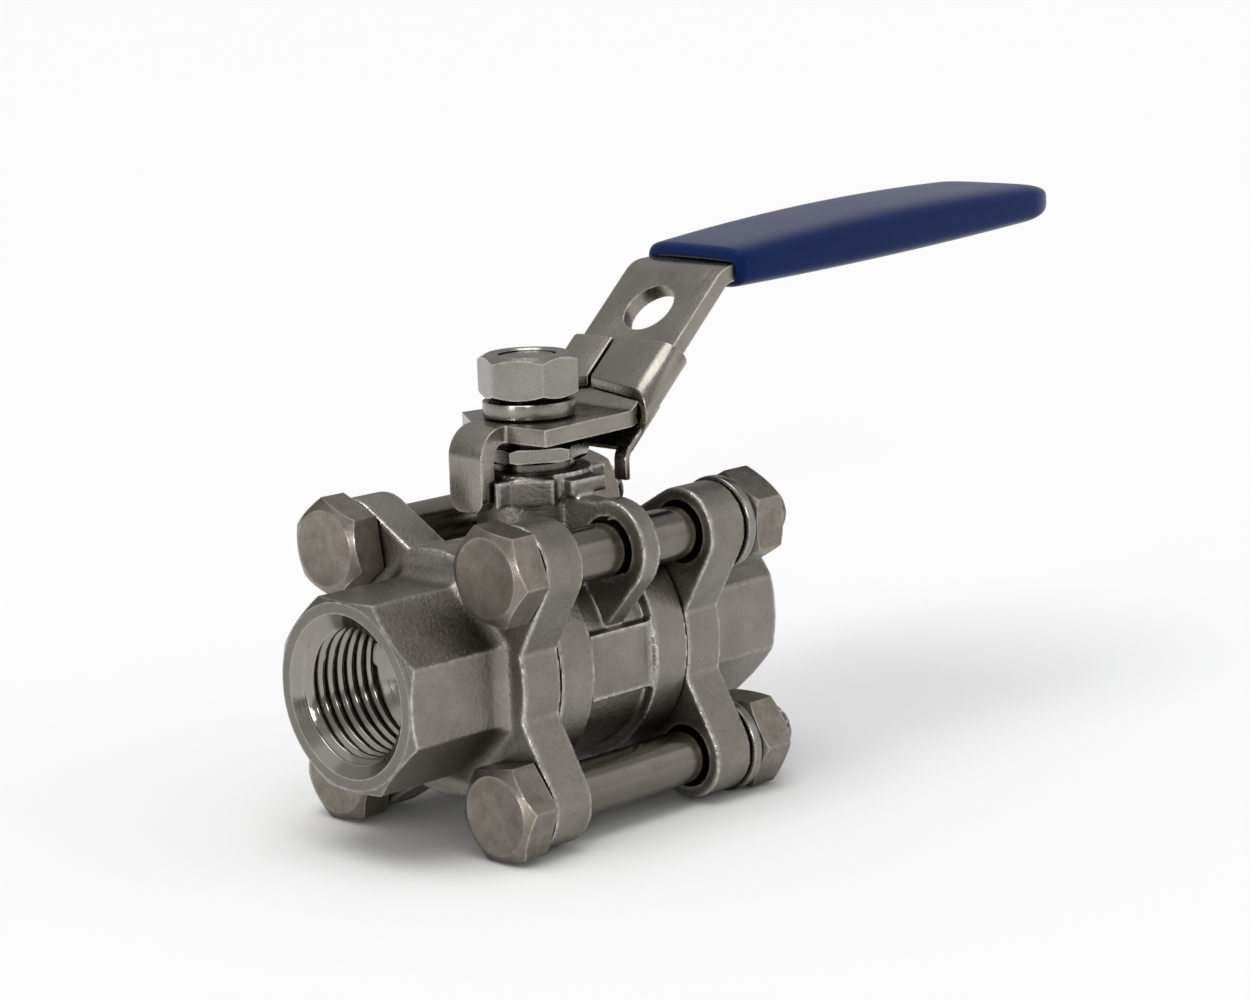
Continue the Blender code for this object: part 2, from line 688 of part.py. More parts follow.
def rounded_end(x, half, end, corner):
    """Half-width of a strip whose end has rounded corners."""
    past = max(0.0, x - (end - corner))
    return half - corner + math.sqrt(max(0.0, corner**2 - min(past, corner) ** 2))


def handle_height(x):
    return HANDLE_HEIGHT + (x - HANDLE_START) * HANDLE_SLOPE


def end_places(end, corner, steps=6):
    return [end - corner * (1 - math.sin(math.pi / 2 * step / steps)) for step in range(steps)]


def lever(look):
    """Bent strip: stop tab, hub plate, sloping arm and handle."""
    middle = LEVER_TOP - LEVER_THICKNESS / 2
    tab = -TAB_INSIDE - LEVER_THICKNESS / 2
    corners = [
        (tab, LEVER_FOOT - TAB_DROP),
        (tab, middle),
        (ARM_START, middle),
        (HANDLE_START, HANDLE_HEIGHT),
        (HANDLE_END, handle_height(HANDLE_END)),
    ]
    root = tab + TAB_BEND
    half_tab = TAB_WIDTH / 2
    half_arm = ARM_WIDTH / 2
    end_corner = half_arm * 0.75
    arm_end = ARM_START - 2 * MM
    near = [(root, half_tab), (HUB_NEAR_CORNER, HUB_WIDTH / 2), (arm_end, half_arm)]
    far = [(root, half_tab), (HUB_FAR_CORNER, HUB_WIDTH / 2), (arm_end, half_arm)]

    def widths(spot):
        end = half_arm - rounded_end(spot.x, half_arm, HANDLE_END, end_corner)
        return -between(spot.x, near) + end, between(spot.x, far) - end

    path = bent_path(corners, (TAB_BEND, LEVER_BEND, LEVER_BEND))
    places = [HUB_NEAR_CORNER, HUB_FAR_CORNER, arm_end, HANDLE_END - end_corner]
    places += end_places(HANDLE_END, end_corner)
    plate = strip("lever", split_at(path, places), LEVER_THICKNESS, widths)

    gap = RUN_GAP
    hole = [(LEVER_FOOT - 1 * MM, 0), (LEVER_FOOT - 1 * MM, STEM_TOP_ROUND / 2 + gap)]
    hole += [(LEVER_TOP + 1 * MM, STEM_TOP_ROUND / 2 + gap), (LEVER_TOP + 1 * MM, 0)]
    stem_hole = turned("stem_hole", hole, 32, "Z")
    half_flat = STEM_FLATS / 2 + gap
    low = (-STEM_ROUND, -half_flat, LEVER_FOOT - 2 * MM)
    combine(stem_hole, box("stem_hole_flats", low, (STEM_ROUND, half_flat, LEVER_TOP + 2 * MM)), "INTERSECT")
    combine(plate, stem_hole, "DIFFERENCE")

    centre = ARM_FOOT + ARM * LOCK_HOLE_PLACE
    bm = bmesh.new()
    rings = []
    for depth in (1 * MM, -LEVER_THICKNESS - 1 * MM):
        ring = []
        for index in range(28):
            angle = 2 * math.pi * index / 28
            across = ARM * math.cos(angle) + Vector((0, 1, 0)) * math.sin(angle)
            ring.append(bm.verts.new(centre + across * LOCK_HOLE / 2 + ARM_OUT * depth))
        rings.append(ring)
    join_rings(bm, *rings)
    bm.faces.new(rings[0])
    bm.faces.new(rings[1])
    combine(plate, new_object("lock_hole", bm), "DIFFERENCE")
    return finish(plate, look)


def grip(look):
    """Plastic sleeve over the handle, with a blind slot for the strip."""
    end = HANDLE_END + GRIP_SKIN
    marks = ((GRIP_START, GRIP_MOUTH), ((GRIP_START + end) / 2, GRIP_MIDDLE), (end, GRIP_TAIL))
    width_marks = [(x, size[0] / 2) for x, size in marks]
    height_marks = [(x, size[1] / 2) for x, size in marks]
    lift_marks = [(x, size[2]) for x, size in marks]
    straight = end - GRIP_CORNER - GRIP_START
    places = [GRIP_START + straight * step / 8 for step in range(8)]
    places += end_places(end, GRIP_CORNER, 7) + [end]
    segments = 24
    bm = bmesh.new()
    rings = []
    for x in places:
        half = rounded_end(x, between(x, width_marks), end, GRIP_CORNER)
        past = max(0.0, x - (end - GRIP_CORNER)) / GRIP_CORNER
        high = between(x, height_marks) * (1 - 0.45 * past**3)
        ring = []
        for index in range(segments):
            angle = 2 * math.pi * (index + 0.5) / segments
            c, s = math.cos(angle), math.sin(angle)
            y = math.copysign(abs(c) ** 0.5, c) * half
            z = math.copysign(abs(s) ** 0.75, s) * high
            skew = MOUTH_SKEW * y / half * (end - x) / (end - GRIP_START)
            ring.append(bm.verts.new((x + skew, y, handle_height(x) + between(x, lift_marks) + z)))
        rings.append(ring)
    for first, second in zip(rings, rings[1:]):
        join_rings(bm, first, second)
    bm.faces.new(rings[0])
    bm.faces.new(rings[-1])
    sleeve = new_object("lever_grip", bm)

    half_arm = ARM_WIDTH / 2
    end_corner = half_arm * 0.75
    slot_end = HANDLE_END + SEAT_GAP

    def widths(spot):
        half = rounded_end(spot.x, half_arm, slot_end, end_corner) + SEAT_GAP
        return -half, half

    path = [Vector((x, handle_height(x))) for x in (GRIP_START - 2 * MM, slot_end)]
    path = split_at(path, [slot_end - end_corner] + end_places(slot_end, end_corner))
    combine(sleeve, strip("grip_slot", path, LEVER_THICKNESS + 2 * SEAT_GAP, widths), "DIFFERENCE")
    return finish(sleeve, look, 50)


def slide_section():
    """Outside and inside of the folded sheet as (across, out) points, with out measured from the arm."""
    half = ARM_WIDTH / 2 + SEAT_GAP
    floor = -LEVER_THICKNESS - SEAT_GAP
    left = SLIDE_SLIT + SLIT_WIDTH / 2
    right = SLIDE_SLIT - SLIT_WIDTH / 2

    def wall(grow, corner, steps=4):
        """From the slit round the far side, under the arm and up the near side to the slit."""
        wide = half + grow
        top = SEAT_GAP + grow
        bottom = floor - grow
        points = [(left, top)]
        for cy, cz, first in (
            (wide - corner, top - corner, 90),
            (wide - corner, bottom + corner, 0),
            (corner - wide, bottom + corner, -90),
            (corner - wide, top - corner, -180),
        ):
            for step in range(steps + 1):
                angle = math.radians(first - 90 * step / steps)
                points.append((cy + corner * math.cos(angle), cz + corner * math.sin(angle)))
        return points + [(right, top)]

    return wall(SHEET, 1.6 * MM), wall(0, 0.5 * MM)


def lock_slide(look):
    """Folded sheet sleeve on the arm, with a tail plate whose two legs straddle the stop flange."""
    bm = bmesh.new()
    half = ARM_WIDTH / 2 - SLIDE_SLIT
    lines = []
    for wall in slide_section():
        bases = [ARM_FOOT + ARM_OUT * out + Vector((0, across, 0)) for across, out in wall]
        feet = [SLIDE_FOOT - SLIDE_SLANT * min(1.0, abs(base.y - SLIDE_SLIT) / half) for base in bases]
        low = [base + ARM * ((foot - base.x) / ARM.x) for base, foot in zip(bases, feet)]
        high = [base + ARM * SLIDE_TOP for base in bases]
        lines.append([bm.verts.new(spot) for spot in low])
        lines.append([bm.verts.new(spot) for spot in high])
    outer_low, outer_high, inner_low, inner_high = lines
    sections = list(zip(outer_low, outer_high, inner_high, inner_low))
    for here, there in zip(sections, sections[1:]):
        join_rings(bm, here, there)
    bm.faces.new(sections[0])
    bm.faces.new(sections[-1])
    sleeve = new_object("lock_slide", bm)

    under = ARM_FOOT - ARM_OUT * (LEVER_THICKNESS + SEAT_GAP + SHEET / 2)
    top = under + ARM * ((SLIDE_FOOT + 3 * MM - under.x) / ARM.x)
    leg = LEG_INSIDE + SHEET / 2
    elbow = under + ARM * ((leg - under.x) / ARM.x)

    def sheet(name, path, thickness, low, high):
        combine(sleeve, strip(name, path, thickness, lambda spot: (low, high)), "UNION")

    end = under + ARM * ((BOSS_TOP + TAIL_LIFT - under.z) / ARM.z)
    sheet("tail", [top.xz, end.xz], SHEET - 0.1 * MM, -LEG_FAR, LEG_FAR)
    start = top - ARM * 1 * MM
    path = bent_path([start.xz, elbow.xz, (leg, EAR_TOP + LEG_LIFT)], (2.2 * MM,), 4)
    edge = LEG_FAR - 0.05 * MM
    sheet("leg_near", path, SHEET - 0.2 * MM, -edge, -LEG_NEAR)
    sheet("leg_far", path, SHEET - 0.2 * MM, LEG_NEAR, edge)
    return finish(sleeve, look)


def tie_bolt(name, y, z, look):
    """Hexagon-head screw that runs the whole length of the joint."""
    turn = HEAD_TURNS[y, z]
    radius = hex_radius(HEX_FLATS, turn)
    shank = BOLT_SIZE / 2
    tip = -HEAD_SEAT + BOLT_LENGTH
    head = -HEAD_SEAT - HEAD_HEIGHT
    rim = HEX_FLATS / 2 * 0.95
    profile = [
        (head, 0),
        (head, rim),
        (hex_face(HEX_FLATS, turn, head, 1), radius),
        (-HEAD_SEAT, radius),
        (-HEAD_SEAT, shank),
        (tip - 0.8 * MM, shank),
        (tip, shank - 0.8 * MM),
        (tip, 0),
    ]
    centre = (0, y * BOLT_OFFSET, z * BOLT_OFFSET)
    return finish(turned(name, profile, 24, "X", centre, math.radians(turn)), look, 25)


def split_washer(name, hole, outside, low, high, look, axis="Z", centre=(0, 0, 0)):
    """Split spring washer, made as a ring that stops short of a full turn."""
    inner = hole / 2 + RUN_GAP
    outer = outside / 2
    segments = 24
    gap = WASHER_SPLIT / outer
    bm = bmesh.new()
    rings = []
    for index in range(segments + 1):
        angle = math.pi / 4 + gap / 2 + (2 * math.pi - gap) * index / segments
        ring = []
        for along, radius in ((low, inner), (low, outer), (high, outer), (high, inner)):
            across = (radius * math.cos(angle), radius * math.sin(angle))
            spot = Vector((along, *across)) if axis == "X" else Vector((*across, along))
            ring.append(bm.verts.new(Vector(centre) + spot))
        rings.append(ring)
    for first, second in zip(rings, rings[1:]):
        join_rings(bm, first, second)
    bm.faces.new(rings[0])
    bm.faces.new(rings[-1])
    return finish(new_object(name, bm), look)


for old in list(bpy.data.objects):
    bpy.data.objects.remove(old)

cast = material("cast_stainless", (0.46, 0.44, 0.41), 0.42, 1.0)
turned_steel = material("turned_stainless", (0.60, 0.58, 0.54), 0.26, 1.0)
sheet_steel = material("sheet_stainless", (0.55, 0.53, 0.50), 0.32, 1.0)
plastic = material("seal_plastic", (0.85, 0.84, 0.80), 0.5, 0.0)
vinyl = material("blue_vinyl", (0.02, 0.07, 0.30), 0.42, 0.0)

body(cast)
end_cap("inlet_end_cap", -1, cast)
end_cap("outlet_end_cap", 1, cast)
ball(turned_steel)
seat("inlet_seat", -1, plastic)
seat("outlet_seat", 1, plastic)
for gasket, side in (("inlet_gasket", -1), ("outlet_gasket", 1)):
    inside = CHAMBER_RADIUS + RUN_GAP
    floor = side * (GASKET_FLOOR + SEAT_GAP)
    ring_piece(gasket, inside, inside + GASKET_WIDTH, floor, floor + side * GASKET_DEPTH, plastic, "X", 32)
stem(turned_steel)
packing_inside = STEM_ROUND / 2 + SEAT_GAP
packing_outside = PACKING_RADIUS - SEAT_GAP
thrust_top = THRUST_FOOT + THRUST_HEIGHT
ring_piece("thrust_washer", packing_inside, COLLAR_ROUND / 2, THRUST_FOOT, thrust_top, plastic)
for order, packing in enumerate(("packing_ring_lower", "packing_ring_middle", "packing_ring_upper")):
    foot = PACKING_FLOOR + SEAT_GAP + order * PACKING_STEP
    ring_piece(packing, packing_inside, packing_outside, foot, foot + PACKING_HEIGHT, plastic)
ring_piece("packing_gland", packing_inside, packing_outside, GLAND_FOOT, GLAND_TOP, turned_steel)

stem_nut_top = STEM_NUT_FOOT + STEM_NUT_HEIGHT
stem_nut = hex_solid("stem_nut", STEM_NUT_FLATS, 25.5, STEM_NUT_FOOT, stem_nut_top, packing_inside, "Z")
finish(stem_nut, turned_steel, 25)
lever(sheet_steel)
grip(vinyl)
washer_top = WASHER_FOOT + WASHER_HEIGHT
split_washer("spring_washer", STEM_TOP_ROUND, WASHER_ROUND, WASHER_FOOT, washer_top, turned_steel)
lever_nut_top = LEVER_NUT_FOOT + LEVER_NUT_HEIGHT
lever_bore = STEM_TOP_ROUND / 2 + RUN_GAP
lever_nut = hex_solid("lever_nut", HEX_FLATS, 2.6, LEVER_NUT_FOOT, lever_nut_top, lever_bore, "Z")
finish(lever_nut, turned_steel, 25)
lock_slide(sheet_steel)

for number, corner in enumerate(HEAD_TURNS, 1):
    tie_bolt(f"tie_bolt_{number}", *corner, turned_steel)
    place = (0, corner[0] * BOLT_OFFSET, corner[1] * BOLT_OFFSET)
    washer_end = HEAD_SEAT + TIE_WASHER_HEIGHT
    washer = (f"tie_washer_{number}", BOLT_SIZE, TIE_WASHER_ROUND, HEAD_SEAT, washer_end)
    split_washer(*washer, turned_steel, "X", place)
    nut_seat = washer_end + SEAT_GAP
    nut_bore = BOLT_SIZE / 2 + SEAT_GAP
    nut_turn = NUT_TURNS[corner]
    nut_end = nut_seat + NUT_HEIGHT
    tie_nut = hex_solid(f"tie_nut_{number}", HEX_FLATS, nut_turn, nut_seat, nut_end, nut_bore, "X", place)
    finish(tie_nut, turned_steel, 25)
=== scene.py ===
# %% [markdown]
# # A screwed-end ball valve with a locking lever
# The imported part gives the sizes, the moving bodies and the place of every piece. This lesson dresses it:
# each faceted solid that shows is replaced by a finer mesh of the same size, and each surface gets a finish
# made from nodes.

# %% Load the imported part
import math

import bmesh
import bpy
import numpy as np
from mathutils import Matrix, Vector


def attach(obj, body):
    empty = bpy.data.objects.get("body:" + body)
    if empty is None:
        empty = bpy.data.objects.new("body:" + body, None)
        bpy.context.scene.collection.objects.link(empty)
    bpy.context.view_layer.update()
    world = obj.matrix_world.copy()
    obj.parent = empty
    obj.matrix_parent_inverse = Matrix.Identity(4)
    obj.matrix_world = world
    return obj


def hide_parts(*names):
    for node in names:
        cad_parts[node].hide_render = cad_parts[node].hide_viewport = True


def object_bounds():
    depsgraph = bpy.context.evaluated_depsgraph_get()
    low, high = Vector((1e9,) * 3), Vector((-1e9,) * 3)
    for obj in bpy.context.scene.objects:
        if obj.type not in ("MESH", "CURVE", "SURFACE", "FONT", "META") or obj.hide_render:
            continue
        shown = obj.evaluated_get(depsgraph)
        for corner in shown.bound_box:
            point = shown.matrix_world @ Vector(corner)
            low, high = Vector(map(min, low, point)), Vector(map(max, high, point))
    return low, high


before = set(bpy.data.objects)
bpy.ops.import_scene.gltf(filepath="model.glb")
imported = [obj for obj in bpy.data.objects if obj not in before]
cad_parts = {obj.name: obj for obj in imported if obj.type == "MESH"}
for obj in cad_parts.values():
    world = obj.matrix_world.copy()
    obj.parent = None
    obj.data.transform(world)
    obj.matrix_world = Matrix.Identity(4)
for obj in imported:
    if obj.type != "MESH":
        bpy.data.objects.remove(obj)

CAD_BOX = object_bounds()
FLOOR_HEIGHT = CAD_BOX[0][2]

# %% [markdown]
# ## Working in millimetres
# A valve is drawn in millimetres, so every mesh here is built in millimetres and shrunk to metres at the
# very end. Bevels, voxels and Booleans then have handy numbers, and their tolerances are far from the
# size of the part.

# %% Small helpers for meshes
MM = 0.001
ON_AXIS = 1e-6


def mesh_object(name, bm):
    """Turns a bmesh into an object whose faces point outwards."""
    bmesh.ops.remove_doubles(bm, verts=bm.verts, dist=0.0005)
    bmesh.ops.recalc_face_normals(bm, faces=bm.faces)
    mesh = bpy.data.meshes.new(name)
    bm.to_mesh(mesh)
    bm.free()
    made = bpy.data.objects.new(name, mesh)
    bpy.context.scene.collection.objects.link(made)
    return made


def settle(obj):
    """Replaces an object's mesh by what its modifiers make of it."""
    graph = bpy.context.evaluated_depsgraph_get()
    made = bpy.data.meshes.new_from_object(obj.evaluated_get(graph), depsgraph=graph)
    obj.modifiers.clear()
    old = obj.data
    obj.data = made
    bpy.data.meshes.remove(old)
    return obj


def combine(obj, other, operation):
    """Cuts, joins or intersects with a helper, whose material stays on the faces that it leaves."""
    step = obj.modifiers.new(other.name, "BOOLEAN")
    step.operation = operation
    step.solver = "EXACT"
    step.material_mode = "TRANSFER"
    step.object = other
    settle(obj)
    bpy.data.objects.remove(other)
    return obj


def soften_edges(obj, width, segments=2, angle=30):
    """Rounds the edges that are sharper than an angle."""
    step = obj.modifiers.new("edges", "BEVEL")
    step.width = width
    step.segments = segments
    step.limit_method = "ANGLE"
    step.angle_limit = math.radians(angle)
    step.use_clamp_overlap = True
    even = obj.modifiers.new("even", "WEIGHTED_NORMAL")
    even.keep_sharp = True
    return settle(obj)


print("objects can be made, settled, combined and softened")

# %% [markdown]
# ### Shapes from rings of points
# Nearly everything on a valve is turned, rolled or bent, so it can be drawn as rings of points with bands
# of faces between them. Blender's own Screw and Curve tools could do the same, but plain rings leave
# every corner where the drawing has it.

# %% Rings and lathe shapes
def join_rings(bm, first, second):
    """Fills the band between two rings, either of which may be a single point."""
    count = max(len(first), len(second))
    if count == 1:
        return
    for index in range(count):
        after = (index + 1) % count
        corners = [first[index % len(first)], first[after % len(first)]]
        corners += [second[after % len(second)], second[index % len(second)]]
        bm.faces.new(dict.fromkeys(corners))


def value_at(number, angle):
    return number(angle) if callable(number) else number


def even_angles(count):
    return [2 * math.pi * index / count for index in range(count)]


def lathe(name, profile, angles, axis="X", centre=(0, 0, 0)):
    """A solid swept round an axis from a closed profile of (along, radius), which may follow the angle."""
    bm = bmesh.new()
    rings = []
    for along, radius in profile:
        ring = []
        for angle in angles:
            r = value_at(radius, angle)
            a = value_at(along, angle)
            across = (r * math.cos(angle), r * math.sin(angle))
            spot = Vector((a, *across)) if axis == "X" else Vector((*across, a))
            ring.append(bm.verts.new(Vector(centre) + spot))
            if r < ON_AXIS:
                break
        rings.append(ring)
    for first, second in zip(rings, rings[1:] + rings[:1]):
        join_rings(bm, first, second)
    return mesh_object(name, bm)


def eased(profile, radius, steps=4):
    """Rounds the corners of a closed profile, apart from those on the axis."""
    points = []
    count = len(profile)
    for index, here in enumerate(profile):
        here = Vector(here)
        before = Vector(profile[index - 1]) - here
        after = Vector(profile[(index + 1) % count]) - here
        if here.y < ON_AXIS:
            points.append(tuple(here))
            continue
        start = here + before.normalized() * min(radius, before.length * 0.45)
        end = here + after.normalized() * min(radius, after.length * 0.45)
        for step in range(steps + 1):
            t = step / steps
            points.append(tuple(start * (1 - t) ** 2 + here * 2 * t * (1 - t) + end * t**2))
    return points


print("lathe shapes are ready")


# %% [markdown]
# ### Straight solids, and handing a piece over
# Flanges, pads and cutters are straight solids on an outline. When a piece is done it goes to the moving
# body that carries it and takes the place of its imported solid.

# %% Prisms, blocks and the last step of a piece
def prism(name, outline, low, high, axis="X"):
    """A straight solid on an outline of (y, z) points along X, or (x, y) points along Z."""
    bm = bmesh.new()
    ends = []
    for along in (low, high):
        spots = [(along, *p) if axis == "X" else (*p, along) for p in outline]
        ends.append([bm.verts.new(spot) for spot in spots])
    join_rings(bm, *ends)
    bm.faces.new(ends[0])
    bm.faces.new(ends[1])
    return mesh_object(name, bm)


def block(name, low, high):
    outline = [(low[1], low[2]), (high[1], low[2]), (high[1], high[2]), (low[1], high[2])]
    return prism(name, outline, low[0], high[0])


def gather(name, parts):
    """Puts closed shapes that overlap into one object. A voxel skin later melts them together."""
    bm = bmesh.new()
    for part in parts:
        bm.from_mesh(part.data)
        bpy.data.objects.remove(part)
    mesh = bpy.data.meshes.new(name)
    bm.to_mesh(mesh)
    bm.free()
    made = bpy.data.objects.new(name, mesh)
    bpy.context.scene.collection.objects.link(made)
    return made


def hand_over(obj, body, slot, *nodes, crease=32):
    """Shrinks a finished piece to metres, shades it and puts it on its moving body."""
    obj.data.transform(Matrix.Scale(MM, 4))
    obj.data.shade_smooth()
    obj.data.set_sharp_from_angle(angle=math.radians(crease))
    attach(obj, body)
    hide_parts(*nodes)
    print(f"{obj.name}: {len(obj.data.polygons)} faces")
    return obj


print("prisms, blocks and the last step are ready")


# %% [markdown]
# ## Node groups: effects that several finishes share
# Metal is told apart by small things: grit left by blasting, edges lighter as rubbed wear and as a painted
# highlight, painted shade in the hollows, and the lines of a tool. Each effect is one node group with a few
# dials, so that a finish is a short recipe of groups. The shader itself stays in each material.

# %% Helpers for node trees
def new_group(name, inputs, outputs):
    tree = bpy.data.node_groups.new(name, "ShaderNodeTree")
    for label, kind, start in inputs:
        socket = tree.interface.new_socket(name=label, in_out="INPUT", socket_type=kind)
        socket.default_value = start
    for label, kind in outputs:
        tree.interface.new_socket(name=label, in_out="OUTPUT", socket_type=kind)
    return tree, tree.nodes.new("NodeGroupInput"), tree.nodes.new("NodeGroupOutput")


def node(tree, kind, settings=None, **inputs):
    """Adds a node. A socket as an input makes a link, and a plain value sets the socket."""
    made = tree.nodes.new(kind)
    for key, value in (settings or {}).items():
        setattr(made, key, value)
    for key, value in inputs.items():
        socket = made.inputs[int(key[1:])] if key[0] == "_" else made.inputs[key.replace("_", " ")]
        if isinstance(value, bpy.types.NodeSocket):
            tree.links.new(value, socket)
        else:
            socket.default_value = value
    return made


def maths(tree, operation, *values):
    inputs = {f"_{index}": value for index, value in enumerate(values)}
    return node(tree, "ShaderNodeMath", {"operation": operation}, **inputs).outputs[0]


def spread(tree, value, low, high, first, last):
    """Maps a value from low..high to first..last, and holds it at the ends."""
    inputs = {"_0": value, "_1": low, "_2": high, "_3": first, "_4": last}
    return node(tree, "ShaderNodeMapRange", **inputs).outputs[0]


def millimetres(tree):
    """The piece's own coordinates, in millimetres."""
    spot = node(tree, "ShaderNodeTexCoord").outputs["Object"]
    scaled = node(tree, "ShaderNodeVectorMath", {"operation": "SCALE"}, _0=spot)
    scaled.inputs["Scale"].default_value = 1 / MM
    return scaled.outputs[0]


def noise(tree, spot, scale, detail=3.0, rough=0.5):
    made = node(tree, "ShaderNodeTexNoise", Vector=spot, Scale=scale, Detail=detail, Roughness=rough)
    return made.outputs["Fac"]


# %% [markdown]
# ### Grit
# Bead blasting leaves a fine orange-peel of dents, and castings also carry wider, softer patches. Two
# noise textures at these two sizes give a height for bump, and a mask for slow changes of tone.

# %% Group: grit
grit, dial, out = new_group(
    "grit",
    [("Grains per mm", "NodeSocketFloat", 2.2), ("Patches per mm", "NodeSocketFloat", 0.12)],
    [("Height", "NodeSocketFloat"), ("Patches", "NodeSocketFloat"), ("Specks", "NodeSocketFloat")],
)
spot = millimetres(grit)
grains = noise(grit, spot, dial.outputs["Grains per mm"], 4.0, 0.6)
patches = noise(grit, spot, dial.outputs["Patches per mm"], 5.0, 0.6)
finer = maths(grit, "MULTIPLY", dial.outputs["Grains per mm"], 1.7)
specks = noise(grit, spot, finer, 2.0, 0.5)
grit.links.new(grains, out.inputs["Height"])
grit.links.new(spread(grit, patches, 0.32, 0.68, 0.0, 1.0), out.inputs["Patches"])
grit.links.new(spread(grit, specks, 0.58, 0.74, 0.0, 1.0), out.inputs["Specks"])
print("grit:", len(grit.nodes), "nodes")

# %% [markdown]
# ### Lighter edges, and painted shade in the hollows
# The corners are made lighter, partly as rubbed wear and partly as a painted highlight, and the hollows are
# painted darker as shade. A bevelled normal that leaves the true one marks an edge, and ambient occlusion
# marks a hollow. Neither depends on where one stands.

# %% Group: lighter edges as wear and painted highlight, painted shade in hollows
highlight_and_shade_group, dial, out = new_group(
    "edge_highlight_and_hollow_shade",
    [("Width", "NodeSocketFloat", 0.4 * MM), ("Reach", "NodeSocketFloat", 3.0 * MM),
     ("Full at", "NodeSocketFloat", 0.86)],
    [("Wear_and_highlight", "NodeSocketFloat"), ("Painted_shade", "NodeSocketFloat")],
)
soft = node(highlight_and_shade_group, "ShaderNodeBevel", {"samples": 6}, Radius=dial.outputs["Width"]).outputs[0]
true = node(highlight_and_shade_group, "ShaderNodeNewGeometry").outputs["Normal"]
agree = node(highlight_and_shade_group, "ShaderNodeVectorMath", {"operation": "DOT_PRODUCT"}, _0=soft, _1=true).outputs["Value"]
corner = spread(highlight_and_shade_group, agree, 0.996, dial.outputs["Full at"], 0.0, 1.0)
occluded = node(highlight_and_shade_group, "ShaderNodeAmbientOcclusion", {"samples": 8}, Distance=dial.outputs["Reach"])
open_air = occluded.outputs["AO"]
# Painted shade: where ambient occlusion finds a hollow, this mask makes the colour darker.
hollow_shade = spread(highlight_and_shade_group, open_air, 0.75, 0.15, 0.0, 1.0)
broken = spread(highlight_and_shade_group, noise(highlight_and_shade_group, millimetres(highlight_and_shade_group), 0.9, 4.0, 0.6), 0.35, 0.6, 0.25, 1.0)
# Painted highlight and rubbed wear: open edges found by the bevel are made lighter, broken up by noise.
edge = maths(highlight_and_shade_group, "MULTIPLY", corner, spread(highlight_and_shade_group, open_air, 0.35, 0.65, 0.0, 1.0))
highlight_and_shade_group.links.new(maths(highlight_and_shade_group, "MULTIPLY", edge, broken), out.inputs["Wear_and_highlight"])
highlight_and_shade_group.links.new(hollow_shade, out.inputs["Painted_shade"])
print("edge_highlight_and_hollow_shade:", len(highlight_and_shade_group.nodes), "nodes")

# %% [markdown]
# ### Tool lines
# A lathe leaves rings round the axis, a press or a belt leaves straight lines. Noise that is stretched a
# lot in one direction does both: the axis, and how far the lines run, are set by scaling the coordinates.

# %% Groups: turned rings and drawn lines
rings_group, dial, out = new_group(
    "turned_rings",
    [("Lines per mm", "NodeSocketFloat", 4.0)],
    [("Lines", "NodeSocketFloat")],
)
parts = node(rings_group, "ShaderNodeSeparateXYZ", Vector=millimetres(rings_group)).outputs
radius = maths(rings_group, "SQRT", maths(
    rings_group, "ADD", maths(rings_group, "MULTIPLY", parts[1], parts[1]),
    maths(rings_group, "MULTIPLY", parts[2], parts[2])))
flat = node(rings_group, "ShaderNodeCombineXYZ", X=parts[0], Y=radius).outputs[0]
lines = noise(rings_group, flat, dial.outputs["Lines per mm"], 3.0, 0.7)
rings_group.links.new(lines, out.inputs["Lines"])

drawn, dial, out = new_group(
    "drawn_lines",
    [("Along", "NodeSocketVector", (0.05, 3.0, 3.0))],
    [("Lines", "NodeSocketFloat")],
)
stretched = node(drawn, "ShaderNodeVectorMath", {"operation": "MULTIPLY"},
                 _0=millimetres(drawn), _1=dial.outputs["Along"]).outputs[0]
drawn.links.new(noise(drawn, stretched, 1.0, 4.0, 0.6), out.inputs["Lines"])
print("turned_rings and drawn_lines are ready")

# %% [markdown]
# ## Finishes
# All the metal here is stainless steel, but each way of making leaves its own surface: blasted castings,
# forged and plated-looking bolts, a pressed lever, and threads that a tool has just cut.

# %% Recipe for a steel finish
def place_group(tree, group, **values):
    made = node(tree, "ShaderNodeGroup", {"node_tree": group}, **values)
    return made.outputs


def mix_colour(tree, factor, first, second):
    made = node(tree, "ShaderNodeMix", {"data_type": "RGBA"}, _0=factor, _6=first, _7=second)
    return made.outputs[2]


def rgb(red, green, blue):
    return (red, green, blue, 1.0)


def new_finish(name, metallic):
    made = bpy.data.materials.new(name)
    made.use_nodes = True
    tree = made.node_tree
    shader = tree.nodes["Principled BSDF"]
    shader.inputs["Metallic"].default_value = metallic
    return made, tree, shader


def bump(tree, shader, height, depth):
    made = node(tree, "ShaderNodeBump", Height=height, Strength=1.0, Distance=depth)
    tree.links.new(made.outputs[0], shader.inputs["Normal"])


